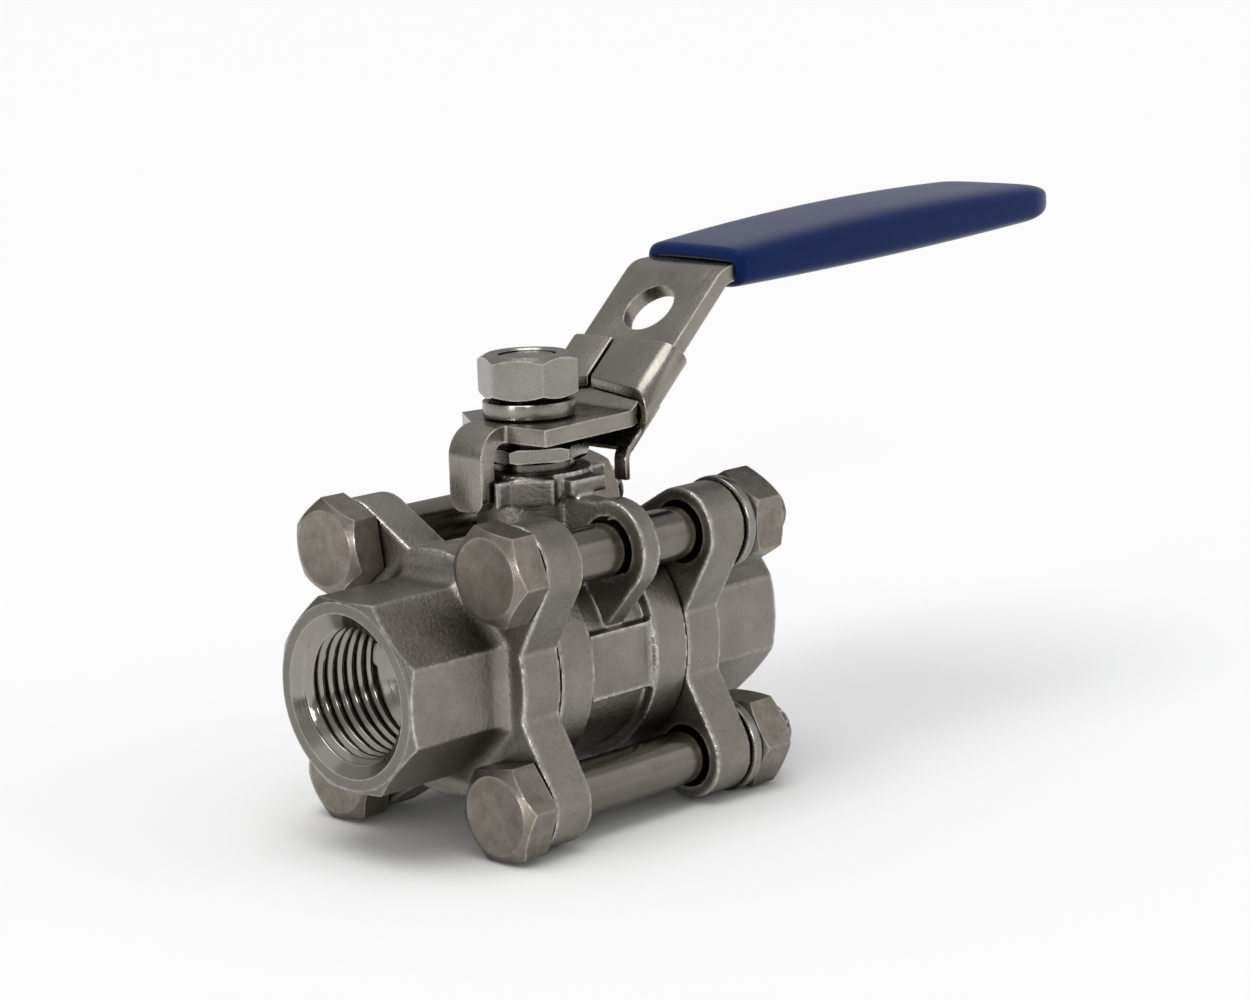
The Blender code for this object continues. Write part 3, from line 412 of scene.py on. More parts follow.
def steel(name, tones, highlight_and_wear_tone, speck_and_shade_tone, roughness, grains, dent, marks=None, mark_share=0.0,
          edge_width=0.5, reach=3.0, full_edge=0.86, patch_scale=0.12):
    """A steel: two tones in patches, edges lighter as wear and painted highlight, painted shade in hollows,
    and bump from grit and tool lines.
    """
    made, tree, shader = new_finish(name, 1.0)
    gritty = place_group(tree, grit, Grains_per_mm=grains, Patches_per_mm=patch_scale)
    highlight_and_shade = place_group(tree, highlight_and_shade_group, Width=edge_width * MM, Reach=reach * MM, Full_at=full_edge)
    colour = mix_colour(tree, gritty["Patches"], *tones)
    colour = mix_colour(tree, maths(tree, "MULTIPLY", gritty["Specks"], 0.35), colour, speck_and_shade_tone)
    # Painted shade: the hollows take the dark tone.
    colour = mix_colour(tree, highlight_and_shade["Painted_shade"], colour, speck_and_shade_tone)
    # Painted highlight and rubbed wear: the edges take the light tone.
    colour = mix_colour(tree, highlight_and_shade["Wear_and_highlight"], colour, highlight_and_wear_tone)
    tree.links.new(colour, shader.inputs["Base Color"])
    low, high = roughness
    rough = spread(tree, gritty["Height"], 0.3, 0.7, low, high)
    rough = maths(tree, "SUBTRACT", rough, maths(tree, "MULTIPLY", highlight_and_shade["Wear_and_highlight"], 0.12))
    height = gritty["Height"]
    if marks:
        lines = marks(tree)
        height = maths(tree, "ADD", height, maths(tree, "MULTIPLY", lines, mark_share))
        rough = maths(tree, "ADD", rough, spread(tree, lines, 0.3, 0.7, -0.06, 0.06))
    tree.links.new(rough, shader.inputs["Roughness"])
    bump(tree, shader, height, dent)
    return made


# %% [markdown]
# ### The steels of this valve
# The castings are rough and warm in tone, the rods and threads are smoother and mirror more, and the
# sheet shows the lines of its rolling. Each is one call of the recipe, so they stay a family and are easy
# to compare.

# %% Steel finishes
def ring_marks(tree):
    return place_group(tree, rings_group)["Lines"]


def strip_marks(tree):
    return place_group(tree, drawn, Along=(0.06, 2.4, 0.3))["Lines"]


def rod_marks(tree):
    return place_group(tree, drawn, Along=(0.08, 2.0, 2.0))["Lines"]


# Each steel gets a light tone painted on its edges as rubbed wear and highlight, and a dark tone painted in
# its hollows as shade.
blasted_casting = steel(
    "blasted_casting", (rgb(0.205, 0.190, 0.160), rgb(0.285, 0.268, 0.235)), rgb(0.74, 0.72, 0.68),
    rgb(0.08, 0.073, 0.060), (0.32, 0.46), 1.6, 0.10 * MM, edge_width=1.0, full_edge=0.965)
cut_thread = steel(
    "cut_thread", (rgb(0.27, 0.255, 0.225), rgb(0.33, 0.312, 0.28)), rgb(0.70, 0.68, 0.64),
    rgb(0.13, 0.12, 0.104), (0.11, 0.19), 3.0, 0.006 * MM, ring_marks, 1.0, edge_width=0.2, reach=1.0)
turned_face = steel(
    "turned_face", (rgb(0.178, 0.167, 0.144), rgb(0.220, 0.208, 0.183)), rgb(0.72, 0.70, 0.66),
    rgb(0.09, 0.082, 0.068), (0.26, 0.36), 2.4, 0.01 * MM, ring_marks, 1.0, edge_width=0.7)
forged_bolt = steel(
    "forged_bolt", (rgb(0.185, 0.163, 0.130), rgb(0.270, 0.246, 0.208)), rgb(0.60, 0.575, 0.53),
    rgb(0.075, 0.066, 0.055), (0.28, 0.42), 1.3, 0.03 * MM, patch_scale=0.4)
drawn_rod = steel(
    "drawn_rod", (rgb(0.156, 0.143, 0.120), rgb(0.198, 0.184, 0.160)), rgb(0.50, 0.48, 0.44),
    rgb(0.06, 0.054, 0.046), (0.15, 0.25), 2.0, 0.008 * MM, rod_marks, 0.8)
pressed_sheet = steel(
    "pressed_sheet", (rgb(0.245, 0.227, 0.192), rgb(0.315, 0.295, 0.258)), rgb(0.66, 0.64, 0.58),
    rgb(0.065, 0.058, 0.048), (0.22, 0.34), 2.0, 0.015 * MM, strip_marks, 1.0, edge_width=0.6, reach=6.0)
turned_steel = steel(
    "turned_steel", (rgb(0.235, 0.222, 0.20), rgb(0.31, 0.296, 0.272)), rgb(0.72, 0.70, 0.66),
    rgb(0.075, 0.068, 0.058), (0.22, 0.32), 2.0, 0.012 * MM)
print("steel finishes ready")

# %% [markdown]
# ### Vinyl and seal plastic
# The grip is a sleeve dipped in soft vinyl: navy, with a dull shine that wavers a little over its length.
# The seals are white and waxy, and hardly show.

# %% Plastic finishes
def plastic(name, tones, roughness, waviness, depth):
    made, tree, shader = new_finish(name, 0.0)
    gritty = place_group(tree, grit, Grains_per_mm=waviness, Patches_per_mm=0.08)
    tree.links.new(mix_colour(tree, gritty["Patches"], *tones), shader.inputs["Base Color"])
    tree.links.new(spread(tree, gritty["Patches"], 0.0, 1.0, *roughness), shader.inputs["Roughness"])
    bump(tree, shader, gritty["Height"], depth)
    return made, shader


dipped_vinyl, shader = plastic(
    "dipped_vinyl", (rgb(0.0004, 0.011, 0.070), rgb(0.0007, 0.0145, 0.088)), (0.34, 0.42), 0.9, 0.02 * MM)
shader.inputs["Specular IOR Level"].default_value = 0.05
shader.inputs["Sheen Weight"].default_value = 0.25
shader.inputs["Sheen Roughness"].default_value = 0.4
seal_white, shader = plastic(
    "seal_white", (rgb(0.78, 0.77, 0.72), rgb(0.84, 0.83, 0.79)), (0.42, 0.55), 1.2, 0.01 * MM)
print("plastic finishes ready")

# %% [markdown]
# ## The end castings
# Each end is an eight-sided socket that flares into a flange with four ears. It is made as in the
# foundry: rough shapes are gathered, a voxel skin melts them into one, and smoothing gives every corner
# its cast fillet. Then come the machined cuts, which stay crisp: the turned corners, the face, the bolt
# holes and the thread.

# %% Cast skin
END_VOXEL, BODY_VOXEL, SMOOTHING_ROUNDS = 0.30, 0.28, 5


def cast_skin(obj, voxel):
    """Melts overlapping shapes into one skin with soft fillets."""
    skin = obj.modifiers.new("skin", "REMESH")
    skin.mode = "VOXEL"
    skin.voxel_size = voxel
    soften = obj.modifiers.new("soften", "SMOOTH")
    soften.factor = 0.5
    soften.iterations = SMOOTHING_ROUNDS
    settle(obj)
    obj.data.materials.clear()
    obj.data.materials.append(blasted_casting)
    return obj


def tooled(obj, finish):
    """Gives a cutter the finish that it leaves behind."""
    obj.data.materials.append(finish)
    return obj


# %% [markdown]
# ### Sizes of the ends
# The ends decide where the bolts sit, so their sizes come first and the other pieces use them. The flange
# is a disc with an ear at each bolt, and its outline is worked out from arcs and their tangents.

# %% Sizes and outline of the ends
BODY_FACE = 12.9
FLANGE_BACK, FLANGE_FRONT, END_FACE = 13.02, 20.25, 37.5
FLANGE_ROUND, EAR_RADIUS, EAR_EDGE = 36.0, 6.5, math.radians(75)
END_FLAT, END_FILLET = 13.55, 2.3
BOLT_OFFSET, BOLT_HOLE = 16.85, 9.4
THREAD_MAJOR, THREAD_MINOR, THREAD_PITCH, THREAD_TURNS = 20.95, 18.63, 1.814, 8
MOUTH_BORE, MOUTH_DEPTH, PORT_BORE = 23.4, 2.2, 15.0
SPIGOT_END, SPIGOT_ROUND = 11.2, 25.4
DOT_Y, DOT_Z, DOT_RADIUS, DOT_HEIGHT = -18.1, 11.3, 1.5, 0.6
TURNED_CORNER, FACE_RIM, TURNING_CLEAR = 1.3, END_FLAT - 0.17, 40.0
TURNING_START, OVERRUN = 25.0, 1.0
CORNERS = ((1, 1), (-1, 1), (-1, -1), (1, -1))


def flange_outline(steps=14):
    """A disc with four ears, whose straight edges run into the disc."""
    reach = math.hypot(BOLT_OFFSET, BOLT_OFFSET)
    disc = FLANGE_ROUND / 2
    meeting = EAR_EDGE - math.acos((reach * math.cos(EAR_EDGE) + EAR_RADIUS) / disc)
    points = []
    for quarter in range(4):
        axis = math.pi / 4 + quarter * math.pi / 2
        first = axis - math.pi / 2 + meeting
        for step in range(steps):
            angle = first + (axis - meeting - first) * step / (steps - 1)
            points.append((disc * math.cos(angle), disc * math.sin(angle)))
        ear = (reach * math.cos(axis), reach * math.sin(axis))
        for step in range(2 * steps - 1):
            angle = axis - EAR_EDGE + 2 * EAR_EDGE * step / (2 * steps - 2)
            points.append((ear[0] + EAR_RADIUS * math.cos(angle), ear[1] + EAR_RADIUS * math.sin(angle)))
    return points


print("outline of the flange:", len(flange_outline()), "points")


def bolt_hole(y, z, low, high):
    profile = [(low, 0), (low, BOLT_HOLE / 2), (high, BOLT_HOLE / 2), (high, 0)]
    return lathe("bolt_hole", profile, even_angles(48), "X", (0, y * BOLT_OFFSET, z * BOLT_OFFSET))


# %% [markdown]
# ### The pipe thread
# A tap cuts a helix, so a ring of the mesh must not close on itself but arrive one pitch further in. Each
# column of points is shifted by its share of the pitch, which keeps the crests exactly on mesh edges, and
# the columns are held at both ends so that the cutter can be closed there.

# %% Cutter for a threaded socket
CREST = ((0.0, 0.0), (0.06, 0.05), (0.36, 0.93), (0.43, 1.0), (0.57, 1.0), (0.64, 0.93), (0.94, 0.05))


def thread_depth(part):
    """Share of the full thread height at a part of the pitch."""
    marks = CREST + ((1.0, 0.0),)
    for (p0, d0), (p1, d1) in zip(marks, marks[1:]):
        if part <= p1:
            return d0 + (d1 - d0) * (part - p0) / (p1 - p0)
    return 0.0


def socket_cutter(side, segments=96):
    """The tap: a thread that starts outside the face, and the port behind it."""
    start = END_FACE + 0.5
    length = THREAD_TURNS * THREAD_PITCH
    bm = bmesh.new()

    def spot(depth, radius, column):
        angle = 2 * math.pi * column / segments
        across = radius * math.cos(angle)
        return bm.verts.new((side * (start - depth), across, side * radius * math.sin(angle)))

    def thread_spot(turns, column):
        depth = min(max(turns * THREAD_PITCH, 0.0), length)
        part = (depth / THREAD_PITCH - column / segments) % 1.0
        radius = THREAD_MAJOR / 2 - (THREAD_MAJOR - THREAD_MINOR) / 2 * thread_depth(part)
        return spot(depth, radius, column)

    steps = [turn + part for turn in range(-2, THREAD_TURNS + 2) for part, _ in CREST]
    columns = []
    for column in range(segments):
        columns.append([thread_spot(step + column / segments, column) for step in steps])
    for column in range(segments):
        after = (column + 1) % segments
        shift = len(CREST) if after == 0 else 0
        for index in range(len(steps) - 1 - shift):
            here = columns[column][index : index + 2]
            there = columns[after][index + shift : index + shift + 2]
            bm.faces.new((here[0], there[0], there[1], here[1]))
    port = (length + (THREAD_MINOR - PORT_BORE) / 2, PORT_BORE / 2)
    ends = (((-1, THREAD_MINOR / 2),), (port, (start - SPIGOT_END + 2, PORT_BORE / 2)))
    for turns, rings in zip((-1, THREAD_TURNS + 1), ends):
        last = [thread_spot(turns, column) for column in range(segments)]
        for depth, radius in rings:
            ring = [spot(depth, radius, column) for column in range(segments)]
            join_rings(bm, last, ring)
            last = ring
        bm.faces.new(last)
    return tooled(mesh_object("socket_cutter", bm), cut_thread)


def countersink(side):
    """A cone at the mouth, which takes the first crests off the thread."""
    slope = (MOUTH_BORE - THREAD_MINOR) / 2 / MOUTH_DEPTH
    wide, narrow = MOUTH_BORE / 2 + slope * OVERRUN, THREAD_MINOR / 2 - 0.2
    tip = END_FACE - (MOUTH_BORE / 2 - narrow) / slope
    outside = END_FACE + OVERRUN
    profile = [(side * tip, 0), (side * tip, narrow), (side * outside, wide), (side * outside, 0)]
    return tooled(lathe("countersink", profile, even_angles(128)), cut_thread)


print(f"thread: {THREAD_TURNS} turns of {THREAD_PITCH} mm")

# %% [markdown]
# ### Both ends
# The two ends are one casting, used twice and turned round. The rough shapes are cast first, a lathe then
# cuts the corners of the socket and its face, and the tap and the drill come last. The near flange has a
# casting pip.

# %% Make both ends
def casting_dot():
    """A low round pip on the near flange, with its root sunk in the flange."""
    root = OVERRUN - FLANGE_FRONT
    dome = []
    for step in range(6, 0, -1):
        angle = math.pi / 2 * step / 6
        dome.append((-DOT_HEIGHT * math.cos(angle) - FLANGE_FRONT, DOT_RADIUS * math.sin(angle)))
    profile = [(root, 0), (root, DOT_RADIUS), *dome, (-FLANGE_FRONT - DOT_HEIGHT, 0)]
    return lathe("casting_dot", profile, even_angles(24), "X", (0, DOT_Y, DOT_Z))


def end_casting(name, side, node_name):
    widen = 1 / math.cos(math.pi / 8)
    root = side * (FLANGE_BACK + 2 * OVERRUN)
    socket = [(root, 0), (root, (END_FLAT + END_FILLET) * widen)]
    for step in range(13):
        angle = math.pi / 2 * step / 12
        along = FLANGE_FRONT + END_FILLET * (1 - math.cos(angle)) - 0.05
        socket.append((side * along, (END_FLAT + END_FILLET * (1 - math.sin(angle))) * widen))
    outside = side * (END_FACE + OVERRUN)
    socket += [(outside, END_FLAT * widen), (outside, 0)]
    eight = [math.pi / 8 + index * math.pi / 4 for index in range(8)]
    spigot = [(side * SPIGOT_END, 0), (side * SPIGOT_END, SPIGOT_ROUND / 2)]
    spigot_root = side * (FLANGE_BACK + OVERRUN)
    spigot += [(spigot_root, SPIGOT_ROUND / 2), (spigot_root, 0)]
    shapes = [
        lathe("socket", socket, eight),
        prism("flange", flange_outline(), side * FLANGE_BACK, side * FLANGE_FRONT),
        lathe("spigot", spigot, even_angles(96)),
    ]
    if side < 0:
        shapes.append(casting_dot())
    casting = cast_skin(gather(name, shapes), END_VOXEL)
    corner = END_FLAT * widen + OVERRUN / 2
    behind, start = side * (FLANGE_BACK - 9 * OVERRUN), side * TURNING_START
    envelope = [
        (behind, 0), (behind, TURNING_CLEAR), (start, TURNING_CLEAR), (start, corner),
        (side * (END_FACE - TURNED_CORNER), corner), (side * END_FACE, FACE_RIM), (side * END_FACE, 0),
    ]
    combine(casting, tooled(lathe("turning", envelope, even_angles(160)), turned_face), "INTERSECT")
    combine(casting, socket_cutter(side), "DIFFERENCE")
    combine(casting, countersink(side), "DIFFERENCE")
    for y, z in CORNERS:
        hole = bolt_hole(y, z, side * (FLANGE_BACK - 2 * OVERRUN), side * (FLANGE_FRONT + 2 * OVERRUN))
        combine(casting, tooled(hole, blasted_casting), "DIFFERENCE")
    return hand_over(casting, "valve_body", "cast_stainless", node_name)


end_casting("near_end", -1, "inlet_end_cap")
end_casting("far_end", 1, "outlet_end_cap")

# %% [markdown]
# ## The body casting
# The middle piece is a barrel between two rings, with a pad on each side, a neck for the stem, stops for
# the lever's tab and an ear round one of the bolts. It goes through the same foundry as the ends.

# %% Body
BODY_ROUND, BARREL_ROUND, BODY_RING = 36.0, 32.6, 6.6
CHAMBER_ROUND, GASKET_FLOOR, GASKET_ROUND = 26.0, 11.7, 30.0
EAR_ROUND, EAR_THICK = 14.0, 3.5
NECK_RADIUS, BOSS_RADIUS, BOSS_TOP = 8.2, 8.9, 26.95
STOP_FOOT, STOP_TOP, BOSS_FOOT = 22.6, 26.5, 23.2
TAB_WIDTH, TAB_INSIDE = 6.8, 10.6
PACKING_FLOOR, PACKING_RADIUS, THRUST_CEILING = 19.0, 6.6, 16.4
STEM_WAY, STEM_COLLAR_WAY = 5.3, 6.7
PAD_ROOT, PAD_FACE, PAD_HALF = 12.0, 16.85, 4.9
STOP_GAP, STOP_REACH, STOP_WALL, STOP_SPAN, STOP_WIDTH = 0.35, 0.7, 1.0, 9.5, 6.7
WEB_LEAN, WEB_FOOT, NECK_FOOT = math.radians(-42.5), math.radians(17), 10.4
LUG_FOOT, LUG_TOP, LUG_INNER, LUG_OUTER, LUG_LEFT, LUG_RIGHT = 23.8, 26.1, 7.2, 10.9, 2.3, 4.5


def stop_outline():
    """The stop beside the tab when the valve is open, seen from above."""
    side = -TAB_WIDTH / 2 - STOP_GAP
    reach = -TAB_INSIDE - STOP_REACH
    across = STOP_SPAN / math.sqrt(2)
    half = STOP_WIDTH / 2 / math.sqrt(2)
    outer = side - STOP_WALL
    return [
        (-NECK_RADIUS / 2, side), (reach, side), (reach, outer), (-2 * across - outer, outer),
        (-across + half, -across - half), (-NECK_RADIUS / 4, -NECK_RADIUS * 0.9),
    ]


def body_shapes():
    ring = BODY_FACE - BODY_RING
    barrel = [(-BODY_FACE, 0), (-BODY_FACE, BODY_ROUND / 2)]
    barrel += [(-ring, BODY_ROUND / 2), (-ring, BARREL_ROUND / 2)]
    barrel += [(-along, radius) for along, radius in reversed(barrel)]
    yield lathe("barrel", barrel, even_angles(128))
    reach = ring + 0.5
    for side in (-1, 1):
        near, far = sorted((side * PAD_ROOT, side * PAD_FACE))
        yield block("pad", (-reach, near, -PAD_HALF), (reach, far, PAD_HALF))
    half = EAR_THICK / 2
    ear = [(-half, 0), (-half, EAR_ROUND / 2), (half, EAR_ROUND / 2), (half, 0)]
    yield lathe("ear", ear, even_angles(96), "X", (0, -BOLT_OFFSET, BOLT_OFFSET))
    foot = BARREL_ROUND / 2 - 0.4
    top = BOLT_OFFSET + EAR_ROUND / 2 - 0.35
    web = [
        (NECK_RADIUS / 2, top), (BOLT_OFFSET, top),
        (BOLT_OFFSET + EAR_ROUND / 2 * math.cos(WEB_LEAN), BOLT_OFFSET + EAR_ROUND / 2 * math.sin(WEB_LEAN)),
        (foot * math.cos(WEB_FOOT), foot * math.sin(WEB_FOOT)),
        (NECK_RADIUS / 2, BARREL_ROUND / 2 - 2),
    ]
    yield prism("web", [(-y, z) for y, z in web], -half, half)
    neck = [
        (NECK_FOOT, 0), (NECK_FOOT, NECK_RADIUS), (BOSS_FOOT, NECK_RADIUS), (BOSS_FOOT, BOSS_RADIUS),
        (BOSS_TOP, BOSS_RADIUS), (BOSS_TOP, 0),
    ]
    yield lathe("neck", neck, even_angles(96), "Z")
    outline = stop_outline()
    yield prism("stop_open", outline, STOP_FOOT, STOP_TOP, "Z")
    yield prism("stop_closed", [(-y, -x) for x, y in outline], STOP_FOOT, STOP_TOP, "Z")
    yield block("lug_near", (-LUG_LEFT, -LUG_OUTER, LUG_FOOT), (LUG_RIGHT, -LUG_INNER, LUG_TOP))
    yield block("lug_arm", (LUG_INNER, -LUG_RIGHT, LUG_FOOT), (LUG_OUTER, LUG_LEFT, LUG_TOP))


casting = cast_skin(gather("body_casting", list(body_shapes())), BODY_VOXEL)
chamber = [
    (-BODY_FACE - OVERRUN, 0), (-BODY_FACE - OVERRUN, GASKET_ROUND / 2), (-GASKET_FLOOR, GASKET_ROUND / 2),
    (-GASKET_FLOOR, CHAMBER_ROUND / 2),
]
chamber += [(-along, radius) for along, radius in reversed(chamber)]
combine(casting, tooled(lathe("chamber", chamber, even_angles(96)), turned_steel), "DIFFERENCE")
stem_way = [
    (0, 0), (0, STEM_COLLAR_WAY), (THRUST_CEILING, STEM_COLLAR_WAY), (THRUST_CEILING, STEM_WAY),
    (PACKING_FLOOR, STEM_WAY), (PACKING_FLOOR, PACKING_RADIUS), (BOSS_TOP + OVERRUN, PACKING_RADIUS),
    (BOSS_TOP + OVERRUN, 0),
]
combine(casting, tooled(lathe("stem_way", stem_way, even_angles(96), "Z"), turned_steel), "DIFFERENCE")
combine(casting, tooled(bolt_hole(-1, 1, -EAR_THICK, EAR_THICK), blasted_casting), "DIFFERENCE")
hand_over(casting, "valve_body", "cast_stainless", "body")

# %% [markdown]
# ## Hexagon heads and nuts
# A hexagon is a lathe shape whose radius depends on the angle. The chamfer is a cone, so the height of
# the rim drops where the corners stick out, and that draws the arcs seen on every bolt head. The corners
# are slightly rounded, because forged hexagons are never knife sharp.

# %% Hexagon outline
HEX_FLATS = 13.0
SIXTH = math.pi / 3
CONE_SLOPE = math.tan(math.radians(30))
BORE_EDGE = 0.25


def hex_shape(flats, turn, rounding=0.22):
    """Angles at which to place points, and the radius as a function of the angle."""
    inner = flats / 2
    middle = (inner - rounding) / math.cos(SIXTH / 2)
    edge = math.atan2(rounding * math.sin(SIXTH / 2), middle + rounding * math.cos(SIXTH / 2))
    offsets = [edge * (step / 3 - 1) for step in range(7)]
    offsets += [edge + (SIXTH - 2 * edge) * step / 10 for step in range(1, 10)]
    angles = [turn + SIXTH * corner + offset for corner in range(6) for offset in offsets]

    def radius(angle):
        off = (angle - turn + SIXTH / 2) % SIXTH - SIXTH / 2
        if abs(off) < edge:
            return middle * math.cos(off) + math.sqrt(rounding**2 - (middle * math.sin(off)) ** 2)
        return inner / math.cos(SIXTH / 2 - abs(off))

    return angles, radius


def chamfered(radius, rim, end, inward):
    """Height of the hexagon's edge under a 30 degree cone that starts at the rim."""
    return lambda angle: end + inward * max(0.0, radius(angle) - rim) * CONE_SLOPE


def hex_nut(name, flats, turn, low, high, bore, axis, centre, finish, chamfer=0.91):
    angles, radius = hex_shape(flats, math.radians(turn))
    rim = flats / 2 * chamfer
    entry = bore + BORE_EDGE
    profile = [
        (low + BORE_EDGE, bore), (low, entry), (low, rim), (chamfered(radius, rim, low, 1), radius),
        (chamfered(radius, rim, high, -1), radius), (high, rim), (high, entry), (high - BORE_EDGE, bore),
    ]
    nut = lathe(name, profile, angles, axis, centre)
    nut.data.materials.append(finish)
    return nut


print("hexagon:", len(hex_shape(HEX_FLATS, 0.0)[0]), "points round")

# %% [markdown]
# ### Tie bolts, nuts and split washers
# Four long bolts clamp the ends to the body, each with a nut on a spring washer. Head and rod are one
# lathe shape, with one finish for the forged head and another for the drawn rod. The thread shows only
# past the nut, so the radius of the lathe shape follows a helix there and needs no cutter.

# %% Tie bolts, nuts and split washers
BOLT_RADIUS, HEAD_SEAT, HEAD_HEIGHT, BOLT_TIP = 3.95, 20.5, 5.3, 33.0
BOLT_PITCH, BOLT_THREAD_START, BOLT_THREAD_DEPTH = 1.25, 27.0, 0.62
TIP_CHAMFER, TIP_SLOPE, SEAT_EDGE, NECK_EDGE = 0.9, 0.8, 0.15, 0.3
DISH_DEPTH, DISH_INSET, RIM_SHARE = 0.14, 1.0, 0.89
NUT_SEAT, NUT_END, NUT_BORE = 22.35, 28.85, 4.2
WASHER_BORE, WASHER_ROUND, WASHER_SEAT, WASHER_END = 4.25, 7.0, 20.5, 22.1
SPLIT_GAP, SPLIT_EDGE = 1.0, 0.3
HEAD_TURNS = (21.0, 8.6, -9.0, -9.0)
NUT_TURNS = (12.0, 30.0, 0.0, 0.0)


def bolt_thread(along):
    """Radius of the bolt's thread at a distance along the bolt, as a function of the angle."""
    def radius(angle):
        part = (along / BOLT_PITCH - angle / (2 * math.pi)) % 1.0
        fade = min(1.0, max(0.0, along - BOLT_THREAD_START))
        chamfer = max(0.0, along - (BOLT_TIP - TIP_CHAMFER))
        return BOLT_RADIUS - fade * BOLT_THREAD_DEPTH * abs(2 * part - 1) - chamfer * TIP_SLOPE
    return radius


def split_ring(name, inner, outer, low, high, axis, centre, finish):
    """A spring washer: a rounded bar bent into a ring that stops short of closing."""
    bm = bmesh.new()
    bar = eased([(low, inner), (low, outer), (high, outer), (high, inner)], SPLIT_EDGE, 3)
    gap = SPLIT_GAP / outer
    rings = []
    for index in range(81):
        angle = math.pi / 4 + gap / 2 + (2 * math.pi - gap) * index / 80
        ring = []
        for along, radius in bar:
            across = (radius * math.cos(angle), radius * math.sin(angle))
            spot = Vector((along, *across)) if axis == "X" else Vector((*across, along))
            ring.append(bm.verts.new(Vector(centre) + spot))
        rings.append(ring)
    for first, second in zip(rings, rings[1:]):
        join_rings(bm, first, second)
    bm.faces.new(rings[0])
    bm.faces.new(rings[-1])
    washer = mesh_object(name, bm)
    washer.data.materials.append(finish)
    return washer


def tie_bolt(name, centre, turn):
    angles, radius = hex_shape(HEX_FLATS, math.radians(turn))
    head = -HEAD_SEAT - HEAD_HEIGHT
    rim = HEX_FLATS / 2 * RIM_SHARE
    profile = [
        (head + DISH_DEPTH, 0), (head + DISH_DEPTH, rim - DISH_INSET), (head, rim - 0.55), (head, rim - 0.08),
        (head + 0.04, rim), (chamfered(radius, rim - 0.06, head, 1), radius),
        (-HEAD_SEAT - SEAT_EDGE, radius), (-HEAD_SEAT, lambda angle: radius(angle) - SEAT_EDGE),
        (-HEAD_SEAT, BOLT_RADIUS + NECK_EDGE), (-HEAD_SEAT + NECK_EDGE, BOLT_RADIUS),
        (BOLT_THREAD_START - 0.5, BOLT_RADIUS),
    ]
    steps = int((BOLT_TIP - BOLT_THREAD_START) / BOLT_PITCH * 10)
    for step in range(steps + 1):
        along = BOLT_THREAD_START + (BOLT_TIP - BOLT_THREAD_START) * step / steps
        profile.append((along, bolt_thread(along)))
    profile.append((BOLT_TIP, 0))
    bolt = lathe(name, profile, angles, "X", centre)
    bolt.data.materials.append(forged_bolt)
    bolt.data.materials.append(drawn_rod)
    for face in bolt.data.polygons:
        face.material_index = int(face.center.x > -HEAD_SEAT + 0.05)
    return bolt


for number, (y, z) in enumerate(CORNERS, 1):
    place = (0, y * BOLT_OFFSET, z * BOLT_OFFSET)
    bolt = tie_bolt(f"bolt_{number}", place, HEAD_TURNS[number - 1])
    hand_over(bolt, "valve_body", "turned_stainless", f"tie_bolt_{number}", crease=24)
    washer = split_ring(f"split_washer_{number}", WASHER_BORE, WASHER_ROUND, WASHER_SEAT, WASHER_END,
                        "X", place, turned_steel)
    hand_over(washer, "valve_body", "turned_stainless", f"tie_washer_{number}")
    turn = NUT_TURNS[number - 1]
    nut = hex_nut(f"nut_{number}", HEX_FLATS, turn, NUT_SEAT, NUT_END, NUT_BORE, "X", place,
                  forged_bolt)
    hand_over(nut, "valve_body", "turned_stainless", f"tie_nut_{number}", crease=24)

# %% [markdown]
# ## Stem, gland and the nuts on the stem
# The stem is a turned bar with two flats, which carry the lever. A thin nut presses the packing down
# through the gland, and a full nut on a spring washer holds the lever.

# %% Stem pieces
STEM_TOP, LEVER_FOOT, LEVER_TOP = 43.2, 31.7, 34.2
STEM_RADIUS, STEM_NECK, STEM_FLATS, STEM_EDGE = 5.0, 4.0, 6.0, 0.35
COLLAR_FOOT, COLLAR_TOP, COLLAR_RADIUS = 12.9, 14.9, 6.4
TANG_HALF, TANG_REACH, TANG_FOOT, TANG_TOP = 2.3, 4.4, 9.5, 13.5
CLEAR = 10.0


def stem_bar():
    shoulder = LEVER_FOOT - 0.25
    profile = [
        (COLLAR_FOOT, 0), (COLLAR_FOOT, COLLAR_RADIUS), (COLLAR_TOP, COLLAR_RADIUS),
        (COLLAR_TOP, STEM_RADIUS), (shoulder, STEM_RADIUS), (shoulder, STEM_NECK), (STEM_TOP, STEM_NECK),
        (STEM_TOP, 0),
    ]
    bar = lathe("stem_bar", eased(profile, STEM_EDGE), even_angles(96), "Z")
    bar.data.materials.append(turned_steel)
    tang = block("tang", (-TANG_HALF, -TANG_REACH, TANG_FOOT), (TANG_HALF, TANG_REACH, TANG_TOP))
    combine(bar, tooled(tang, turned_steel), "UNION")
    for side in (-1, 1):
        near, far = sorted((side * STEM_FLATS / 2, side * CLEAR))
        flat = block("flat", (-CLEAR, near, shoulder), (CLEAR, far, STEM_TOP + OVERRUN))
        combine(bar, tooled(flat, turned_steel), "DIFFERENCE")
    return bar


